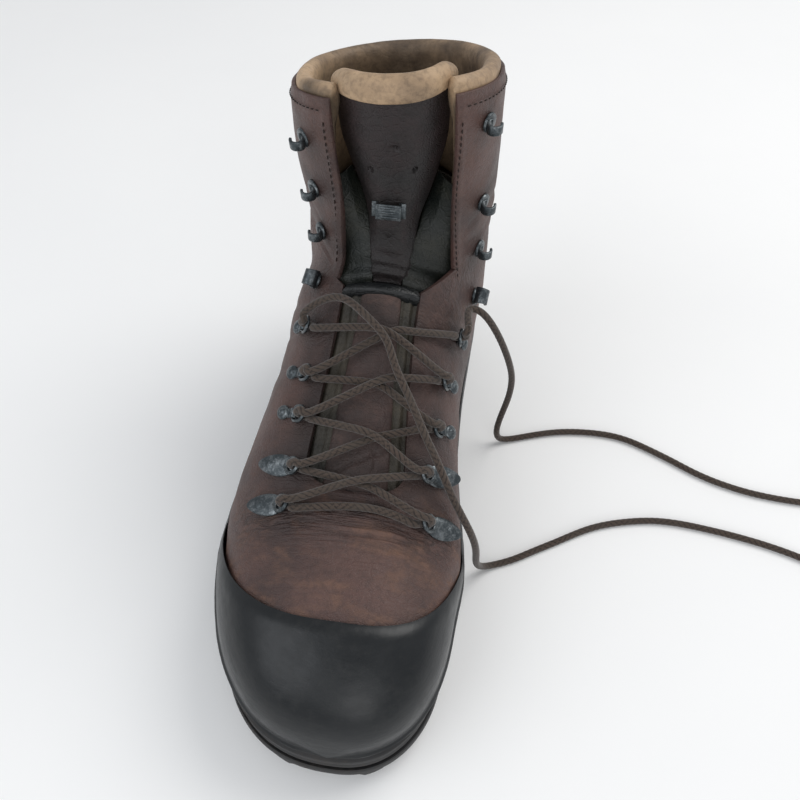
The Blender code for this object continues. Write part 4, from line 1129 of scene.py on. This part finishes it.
def rollMesh(profile, columns, turns, anglesAt, bottomAt=None, swell=None, curl=None):
    # a padded roll: a closed profile of height and depth carried round the cuff, with rounded ends
    mesh = gridMesh(columns, turns)
    spot = gridSpots(mesh)
    u, turn = spot[:, 0] + 0.5, spot[:, 1] + 0.5
    height, depth = np.moveaxis(closedCurve(profile, turn), -1, 0)
    if swell is not None:
        (midHeight, midDepth), size = swell[0], swell[1](u)
        height, depth = mix(midHeight, height, size), mix(midDepth, depth, size)
    angle = anglesAt(u, np.full_like(u, shape["cuff"]))
    s = cuffSection(np.maximum(height, -14.0), angle)
    if bottomAt is not None:
        bottom = bottomAt(angle)
        s = np.where(height < -14, mix(s, bottom, (-14 - height) / 46), s)
        angle = anglesAt(u, s)
    base = surface(s, angle)
    bumps = noiseField(base, 0.06, 4.9) * 0.5 + noiseField(base, 0.2, 1.9) * 0.12
    placeVerts(mesh, skin(s, angle, depth - bumps + (curl(u, s) if curl else 0)))
    closeEnds(mesh)
    return mesh


def roundedEnds(share):    # 1 in the middle, closing to a rounded end over a share of the length
    def size(u):
        edge = np.clip(np.minimum(u, 1 - u) / share, 0, 1)
        return np.sqrt(np.clip(1 - (1 - edge) ** 2, 0.02, 1))

    return size


def ankleSection(angle, extra):
    return sectionAtHeight(angle, shape["ankleHeight"] + extra)


def shaftRelief(s, angle, u, v):
    spot = surface(s, angle)
    folds = 0.9 * hump(v - 0.08 - noiseField(spot, (0.03, 0.03, 0.0), 2.6) * 0.05, 0.04)
    folds = folds + 0.6 * hump(v - 0.24 - noiseField(spot, (0.04, 0.04, 0.0), 7.6) * 0.06, 0.03)
    tuck = 0.8 * ease((v - 0.93) / 0.07)
    edge = 0.5 * hump(u - 0.02, 0.012)
    return (noiseField(spot, 0.032, 5.8) * 1.0 + noiseField(spot, 0.09, 1.1) * 0.35 + edge
            - folds * ease(u / 0.1) - tuck)


def collarShadeAndDirt(spots):    # painted shade with some dirt: the lining is darker inside, and darkest behind the front edges
    front = ease((60 - spots[:, 1]) / 10) * ease((231 - spots[:, 2]) / 9)
    return np.clip(ease((216 - spots[:, 2]) / 34) * 0.7 + front, 0, 1)


def makeShaft():
    for side, name in sideNames.items():
        def low(u):
            angle = mix(flapEdge(side, np.full_like(u, 7.8)), side * shaft["backAngle"], u)
            return ankleSection(angle, 0.5), angle

        def high(u):
            angle = mix(flapEdge(side, np.full_like(u, shape["cuff"])), side * shaft["backAngle"], u)
            return cuffSection(shaft["leatherTop"], angle), angle

        replaced = ["flap_" + name] + (["shaft_back"] if side == lateral else [])
        mesh = patchMesh(low, high, 130, 60, 0.0, 2.4, shaftRelief, 0.7)
        piece = finishMesh("shaftLeather_" + name, mesh, finishes["leather"], None, replaced)
        wearLeather(piece, 0.5)
        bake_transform(piece)

        def collarAngle(u, s):
            # behind the leather's edge, but flush with it at the top
            hidden = mix(8.0, 0.6, ease((s - 13.6) / 1.2))
            return mix(flapEdge(side, s) + side * hidden, side * 179.95, u)

        def collarSize(u):
            return np.sqrt(np.clip(1 - (1 - np.clip(u / 0.02, 0, 1)) ** 2, 0.25, 1))

        mesh = rollMesh(shaft["collar"], 120, 96, collarAngle, lambda angle: ankleSection(angle, 5.0),
                        ((0.0, 5.0), collarSize))
        replaced = ["flap_pad_" + name] + (["collar_back"] if side == lateral else [])
        piece = finishMesh("collarPad_" + name, mesh, finishes["tan"], None, replaced)
        toneAll(piece, 0.3, collarShadeAndDirt)
        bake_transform(piece)
    makeBackstay()
    makeGussets()

    def rollAngle(u, s):
        return mix(tongueEdge(lateral, s), tongueEdge(medial, s), mix(0.01, 0.99, u))

    mesh = rollMesh(shaft["tongueRoll"], 90, 64, rollAngle, None,
                    ((1.0, 4.5), lambda u: mix(0.3, 1, roundedEnds(0.5)(u))), tongueCurl)
    piece = finishMesh("tongueRoll", mesh, finishes["tan"], "tongue", ["tongue_roll"])
    toneAll(piece, 0.3)


def makeBackstay():
    start = float(sectionAtHeight(180.0, 57.0, 10.0))

    def relief(s, angle, u, v):
        edge = np.minimum(np.minimum(u, 1 - u) * 12, np.minimum(v, 1 - v) * 60)
        return 0.5 * np.clip(edge, 0, 1) + noiseField(surface(s, angle), 0.06, 3.8) * 0.2

    mesh = patchMesh(crossRow(start, 170.5, 189.5),
                     lambda u: (cuffSection(-2.5, mix(171.5, 188.5, u)), mix(171.5, 188.5, u)),
                     20, 110, -1.5, -0.1, relief, 0.5)
    piece = finishMesh("backstayStrip", mesh, finishes["leather"], "root", ["backstay"])
    wearLeather(piece, 0.6)


def makeGussets():
    # each bellows is folded in two: the inner half joins the tongue, the outer half the flap
    for side, name in sideNames.items():
        def foldAngle(s):
            return mix(tongueEdge(side, s), flapEdge(side, s), 0.5)

        for part, edges, depths, bodies in (
            ("inner", (lambda s: tongueEdge(side, s) - side * 3, foldAngle), (7.4, 6.0), ("root", "tongue")),
            ("outer", (foldAngle, lambda s: flapEdge(side, s) + side * 7), (6.0, 3.1),
             ("root", "flap_" + name)),
        ):
            def place(u, v, isOuter):
                s = mix(7.5, 12.7, v)
                angle = mix(edges[0](s), edges[1](s), u)
                spot = surface(s, angle)
                pleats = 1.5 * np.sin((s - 7.5) * 3.6 + angle * 0.03) * ease((10.2 - s) / 2)
                pleats = pleats * (1 if side > 0 else 0.6)
                sunk = 9 * ease((s - 9.3) / 2.6) * (1 - 0.5 * u if part == "inner" else 0.5 - 0.5 * u)
                depth = mix(depths[0], depths[1], u) - pleats - noiseField(spot, 0.08, 5.5) * 0.9 + sunk
                return skin(s, angle, np.where(isOuter, depth, depth + 1.2))

            mesh = sheetMesh(26, 110, place, 0.3)
            piece = finishMesh("bellows_" + part + "_" + name, mesh, finishes["gusset"], None,
                               ["gusset_" + name] if part == "inner" else [])
            # darker lower down between tongue and flap, more on the medial side
            toneAll(piece, 0.35, lambda spots: ease((168 - spots[:, 2]) / 34) * (0.75 if side > 0 else 0.35))
            if part == "inner":
                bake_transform(piece)
            else:
                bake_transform(piece)


makeShaft()
print("shaft made")


# lacing hardware pieces, each made in its own frame and then put in place

fittings = {
    "plate": {"middle": -10.3, "half": 9.6, "width": 5.1, "rise": 0.9, "dome": 0.7},
    "wire": 0.92, "clipWidth": 4.4, "clipThickness": 0.8, "hookWidth": 5.0, "lockWidth": 9.0,
    "rivet": 2.0, "hookCentre": (0.6, 4.1), "hookRadius": 2.9, "hookThickness": 1.25,
}


def leafMesh(settings):    # a domed leaf plate, broad at the throat's end
    mesh = bmesh.new()
    bmesh.ops.create_circle(mesh, cap_ends=True, segments=44, radius=1.0)
    for vert in mesh.verts:
        x, y = vert.co.x, vert.co.y
        vert.co = Vector((settings["middle"] + settings["half"] * x,
                          settings["width"] * y * (1 + 0.22 * x), 0))
    top = bmesh.ops.extrude_face_region(mesh, geom=mesh.faces[:])
    moved = [item for item in top["geom"] if isinstance(item, bmesh.types.BMVert)]
    bmesh.ops.translate(mesh, verts=moved, vec=(0, 0, settings["rise"]))
    bmesh.ops.recalc_face_normals(mesh, faces=mesh.faces)
    face = max(mesh.faces, key=lambda item: item.calc_center_median().z)
    for shrink, lift in ((0.93, 0.4), (0.8, 0.35), (0.5, 0.2)):
        bmesh.ops.inset_region(mesh, faces=[face], thickness=0.1, depth=0)
        middle = face.calc_center_median()
        for vert in face.verts:
            vert.co = middle + (vert.co - middle) * shrink + Vector((0, 0, lift * settings["dome"]))
    return mesh


def rivetMesh(x, radius, height, base=0.0):    # a low round head
    mesh = bmesh.new()
    bmesh.ops.create_uvsphere(mesh, u_segments=24, v_segments=12, radius=1.0)
    for vert in mesh.verts:
        vert.co = Vector((x + vert.co.x * radius, vert.co.y * radius, base + vert.co.z * height))
    return mesh


def wireMesh(points, radius, sides=12):    # a closed wire loop in its own plane
    route = np.array(points, float)
    headings = unit(np.roll(route, -1, axis=0) - np.roll(route, 1, axis=0))
    up = np.array([0.0, 0.0, 1.0])
    across = np.cross(headings, up)
    mesh = bmesh.new()
    bmesh.ops.create_grid(mesh, x_segments=len(route), y_segments=sides, size=0.5)
    for vert in mesh.verts:
        i = round((vert.co.x + 0.5) * len(route)) % len(route)
        turn = 2 * math.pi * (vert.co.y + 0.5)
        vert.co = Vector(route[i] + (across[i] * math.cos(turn) + up * math.sin(turn)) * radius)
    bmesh.ops.remove_doubles(mesh, verts=mesh.verts, dist=0.001)
    bmesh.ops.recalc_face_normals(mesh, faces=mesh.faces)
    return mesh


def stripMesh(outline, width, taper=0.0):    # an outline in x and z drawn out along y, with its edges rounded
    mesh = bmesh.new()
    face = mesh.faces.new([mesh.verts.new((x, -width / 2, z)) for x, z in outline])
    made = bmesh.ops.extrude_face_region(mesh, geom=[face])
    moved = [item for item in made["geom"] if isinstance(item, bmesh.types.BMVert)]
    bmesh.ops.translate(mesh, verts=moved, vec=(0, width, 0))
    bmesh.ops.recalc_face_normals(mesh, faces=mesh.faces)
    highest = max(vert.co.z for vert in mesh.verts)
    for vert in mesh.verts:
        vert.co.y *= 1 - taper * vert.co.z / highest
    edges = [edge for edge in mesh.edges if edge.calc_face_angle(0) > math.radians(50)]
    bmesh.ops.bevel(mesh, geom=edges, offset=0.22, affect="EDGES", segments=2, profile=0.5, material=-1,
                    clamp_overlap=True)
    return mesh


def curl(centre, radius, thickness, start, stop, count):    # outline of a strip bent round a centre
    angles = np.radians(np.linspace(start, stop, count))
    outer, inner = radius + thickness / 2, radius - thickness / 2
    arc = [(centre[0] + outer * math.cos(a), centre[1] + outer * math.sin(a)) for a in angles]
    return arc, [(centre[0] + inner * math.cos(a), centre[1] + inner * math.sin(a)) for a in angles[::-1]]


def placeFitting(name, mesh, place, body, node):
    bmesh.ops.transform(mesh, matrix=Matrix.Scale(mm, 4) @ place, verts=mesh.verts)
    return finishMesh(name, mesh, finishes["metal"], body, [node], sharp=45, merge=0.000002)


def ringTurn():
    turn = Matrix.Rotation(-math.radians(hardware["ringTilt"]), 4, "Y")
    return Matrix.Translation(Vector(hardware["ringHinge"])) @ turn


def loopPoints(count=40):    # the oval eye of an eyelet plate
    turns = np.linspace(0, 2 * math.pi, count, endpoint=False)
    half, wide = hardware["ringLength"] / 2, hardware["ringHalfWidth"]
    return [(half * (1 + math.cos(a)), wide * math.sin(a), 0) for a in turns]


def ringShape():    # a D with its straight leg on y and its round end along x
    wide, length = hardware["ringHalfWidth"], hardware["ringLength"]
    points = [(0, y, 0) for y in (-2.4, -1.2, 0, 1.2, 2.4)] + [(0.35, wide - 0.45, 0), (1.1, wide - 0.05, 0)]
    points += [(length - wide - 2.2, wide, 0)]
    centre = length - wide
    points += [(centre + wide * math.cos(a), wide * math.sin(a), 0)
               for a in np.radians(np.linspace(90, -90, 15))]
    points += [(length - wide - 2.2, -wide, 0), (1.1, -wide + 0.05, 0), (0.35, -wide + 0.45, 0)]
    return points


def makeFittings():
    wire = fittings["wire"]
    for side, name in sideNames.items():
        for row, (s, angle) in enumerate(hardware["plateRows"][side], 1):
            mesh = leafMesh(fittings["plate"])
            addTo(mesh, rivetMesh(-13.5, 2.3, 0.55, 1.25))
            addTo(mesh, wireMesh(loopPoints(), wire + 0.15), ringTurn())
            addTo(mesh, rivetMesh(-4.2, 2.2, 1.7, 0.6))
            placeFitting("eyeletPlate_%s_%d" % (name, row), mesh, hardwarePlace(s, angle, side), "root",
                         "eyelet_%s_%d" % (name, row))
        for row, (s, angle) in enumerate(hardware["ringRows"][side], 3):
            place = hardwarePlace(s, angle, side)
            hinge = hardware["ringHinge"]
            outer, inner = curl((hinge[0], hinge[2]), 1.62, fittings["clipThickness"], -90, 175, 18)
            mesh = stripMesh([(-14.2, 0.02)] + outer + inner + [(-14.2, 0.85)], fittings["clipWidth"])
            addTo(mesh, rivetMesh(-11.6, 3.5, 1.15, 0.35))
            addTo(mesh, rivetMesh(-11.6, fittings["rivet"], 1.0, 1.0))
            placeFitting("ringClip_%s_%d" % (name, row), mesh, place, "root", "ring_clip_%s_%d" % (name, row))
            placeFitting("dRing_%s_%d" % (name, row), wireMesh(ringShape(), wire), place @ ringTurn(),
                         "ring_%s_%d" % (name, row), "lace_ring_%s_%d" % (name, row))
        makeHook("lockHook_" + name, hardware["lockRows"][side], side, fittings["lockWidth"], "root",
                 "lock_hook_" + name)
        for row, spot in enumerate(hardware["hookRows"][side], 7):
            makeHook("openHook_%s_%d" % (name, row), spot, side, fittings["hookWidth"], "flap_" + name,
                     "hook_%s_%d" % (name, row))


def makeHook(name, spot, side, width, body, node):
    # a riveted disc with a strip curled over, open to the outside
    outer, inner = curl(fittings["hookCentre"], fittings["hookRadius"], fittings["hookThickness"],
                        -130, 140, 22)
    mesh = stripMesh(outer + inner, width, 0.18)
    disc = bmesh.new()
    bmesh.ops.create_cone(disc, cap_ends=True, segments=32, radius1=4.5, radius2=4.1, depth=1.3)
    for vert in disc.verts:
        vert.co = Vector((vert.co.x - 1, vert.co.y * max(1, width / 9.4), vert.co.z + 0.65))
    edges = [edge for edge in disc.edges if edge.calc_face_angle(0) > math.radians(40)]
    bmesh.ops.bevel(disc, geom=edges, offset=0.3, affect="EDGES", segments=2, profile=0.5, material=-1)
    addTo(mesh, disc)
    addTo(mesh, rivetMesh(-1.8, fittings["rivet"], 0.7, 1.3))
    placeFitting(name, mesh, hardwarePlace(*spot, side), body, node)


keeper = {"half": 5.6, "high": 3.4, "thick": 1.0, "foot": 2.0, "width": 7.4, "bars": 3, "place": (11.9, 0.5)}


def makeKeeper():
    # the bridge on the tongue that the lace runs under, with pressed bars and a leather tab below
    half, high, thick, foot = (keeper[key] for key in ("half", "high", "thick", "foot"))
    outline = [(-half - foot, 0), (-half - foot, thick), (-half, thick), (-half, high), (half, high),
               (half, thick), (half + foot, thick), (half + foot, 0), (half - thick, 0),
               (half - thick, high - thick), (-half + thick, high - thick), (-half + thick, 0)]
    mesh = stripMesh(outline, keeper["width"])
    for bar in range(keeper["bars"]):
        y = (bar - 1) * 2.3
        turn = Matrix.Translation((0, y, high)) @ Matrix.Diagonal((half * 0.86, 0.62, 0.55, 1))
        ridge = bmesh.new()
        bmesh.ops.create_uvsphere(ridge, u_segments=20, v_segments=10, radius=1.0)
        addTo(mesh, ridge, turn)
    place = hardwarePlace(*keeper["place"], lateral, 0.0)
    place.translation = Vector(surface(*keeper["place"])) - place.col[2].to_3d() * 2.9
    placeFitting("tongueKeeper", mesh, place, "tongue", "lace_keeper")
    tab = bmesh.new()
    bmesh.ops.create_circle(tab, cap_ends=True, segments=28, radius=1.0)
    for vert in tab.verts:
        x, y = vert.co.x, vert.co.y
        vert.co = Vector((5.2 * x * (1 + 0.25 * y), 6.4 * y - 7.5, 0))
    top = bmesh.ops.extrude_face_region(tab, geom=tab.faces[:])
    moved = [item for item in top["geom"] if isinstance(item, bmesh.types.BMVert)]
    bmesh.ops.translate(tab, verts=moved, vec=(0, 0, 1.1))
    edges = [edge for edge in tab.edges if edge.calc_face_angle(0) > math.radians(50)]
    bmesh.ops.bevel(tab, geom=edges, offset=0.35, affect="EDGES", segments=2, profile=0.5, material=-1)
    bmesh.ops.transform(tab, matrix=Matrix.Scale(mm, 4) @ place, verts=tab.verts)
    piece = finishMesh("tongueTab", tab, finishes["tongueLeather"], "tongue")
    toneAll(piece, 0.5)


# stitches: small capsules along seams

stitches = {"length": 2.3, "pitch": 3.3, "radius": 0.34}


def stitchMesh(place):    # place(t) gives points; every stitch lies along the row
    line = place(np.linspace(0, 1, 900))
    along = lengthsAlong(line)
    mesh = bmesh.new()
    for middle in np.arange(stitches["pitch"] / 2, along[-1], stitches["pitch"]):
        spot = np.array([np.interp(middle, along, column) for column in line.T])
        ahead = np.array([np.interp(middle + 1, along, column) for column in line.T])
        turn = Vector(ahead - spot).to_track_quat("X", "Z").to_matrix().to_4x4()
        one = bmesh.new()
        bmesh.ops.create_uvsphere(one, u_segments=6, v_segments=5, radius=1.0)
        size = Matrix.Diagonal((stitches["length"] / 2, stitches["radius"], stitches["radius"], 1))
        addTo(mesh, one, Matrix.Scale(mm, 4) @ Matrix.Translation(Vector(spot)) @ turn @ size)
    return mesh


def makeStitches():
    for side, name in sideNames.items():
        flap = "flap_" + name

        def edgeRow(t):
            s = mix(9.0, 14.5, t)
            return skin(s, flapEdge(side, s) + side * 3.4, np.full_like(s, -0.75))

        piece = finishMesh("edgeStitches_" + name, stitchMesh(edgeRow), finishes["thread"], flap,
                           sharp=180)

        def collarRow(t):
            angle = mix(flapEdge(side, np.full_like(t, shape["cuff"])) + side * 5, side * 168.0, t)
            return skin(cuffSection(-4.5, angle), angle, np.full_like(t, -0.55))

        piece = finishMesh("collarStitches_" + name, stitchMesh(collarRow), finishes["thread"], None,
                           sharp=180)
        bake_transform(piece)
    low = float(sectionAtHeight(180.0, 62.0, 10.0))
    for side, name in sideNames.items():
        def stayRow(t):
            s = mix(low, 14.3, t)
            return skin(s, np.full_like(s, 180 + side * 7.4), np.full_like(s, -2.1))

        finishMesh("backstayStitches_" + name, stitchMesh(stayRow), finishes["thread"], "root",
                   sharp=180)


makeFittings()
makeKeeper()
makeStitches()
print("fittings and stitches made")


# floor, light and world

stage = {
    "floorSize": 30.0, "floorTone": (0.93, 0.93, 0.925), "world": (0.95, 0.97, 1.0), "worldStrength": 0.54,
    "lights": [("window", (0.75, 0.55, 1.25), 1.1, 10.0, (1.0, 0.985, 0.96)),
               ("fill", (-0.9, -0.8, 1.1), 1.4, 7.0, (0.93, 0.96, 1.0)),
               ("front", (0.35, -1.1, 0.7), 0.9, 3.0, (1.0, 1.0, 1.0))],
}


def makeStage(settings):
    mesh = bmesh.new()
    bmesh.ops.create_grid(mesh, x_segments=1, y_segments=1, size=settings["floorSize"] / 2)
    data = bpy.data.meshes.new("floor")
    mesh.to_mesh(data)
    mesh.free()
    floor = bpy.data.objects.new("floor", data)
    bpy.context.scene.collection.objects.link(floor)
    finish = Finish("floor_paper", roughness=0.75, **{"Specular IOR Level": 0.2})
    mottle = finish.noise(4, 5, 0.6)
    finish.put("Base Color", finish.blend(mottle.window(0.3, 0.7) * 0.25, settings["floorTone"],
                                          (0.86, 0.865, 0.87)))
    data.materials.append(finish.material)
    for name, place, size, power, colour in settings["lights"]:
        light = bpy.data.lights.new(name, "AREA")
        light.shape = "DISK"
        light.size, light.energy, light.color = size, power, colour
        lamp = bpy.data.objects.new(name, light)
        bpy.context.scene.collection.objects.link(lamp)
        aim = Vector((0, 0, 0.1)) - Vector(place)
        lamp.matrix_world = Matrix.Translation(place) @ aim.to_track_quat("-Z", "Y").to_matrix().to_4x4()
    world = bpy.data.worlds.new("world")
    world.use_nodes = True
    backdrop = world.node_tree.nodes["Background"]
    backdrop.inputs["Color"].default_value = (*settings["world"], 1)
    backdrop.inputs["Strength"].default_value = settings["worldStrength"]
    bpy.context.scene.view_settings.view_transform = "Standard"    # plain contrast, as a pale studio shot has
    bpy.context.scene.world = world


makeStage(stage)
bpy.context.view_layer.update()
print("scene ready")
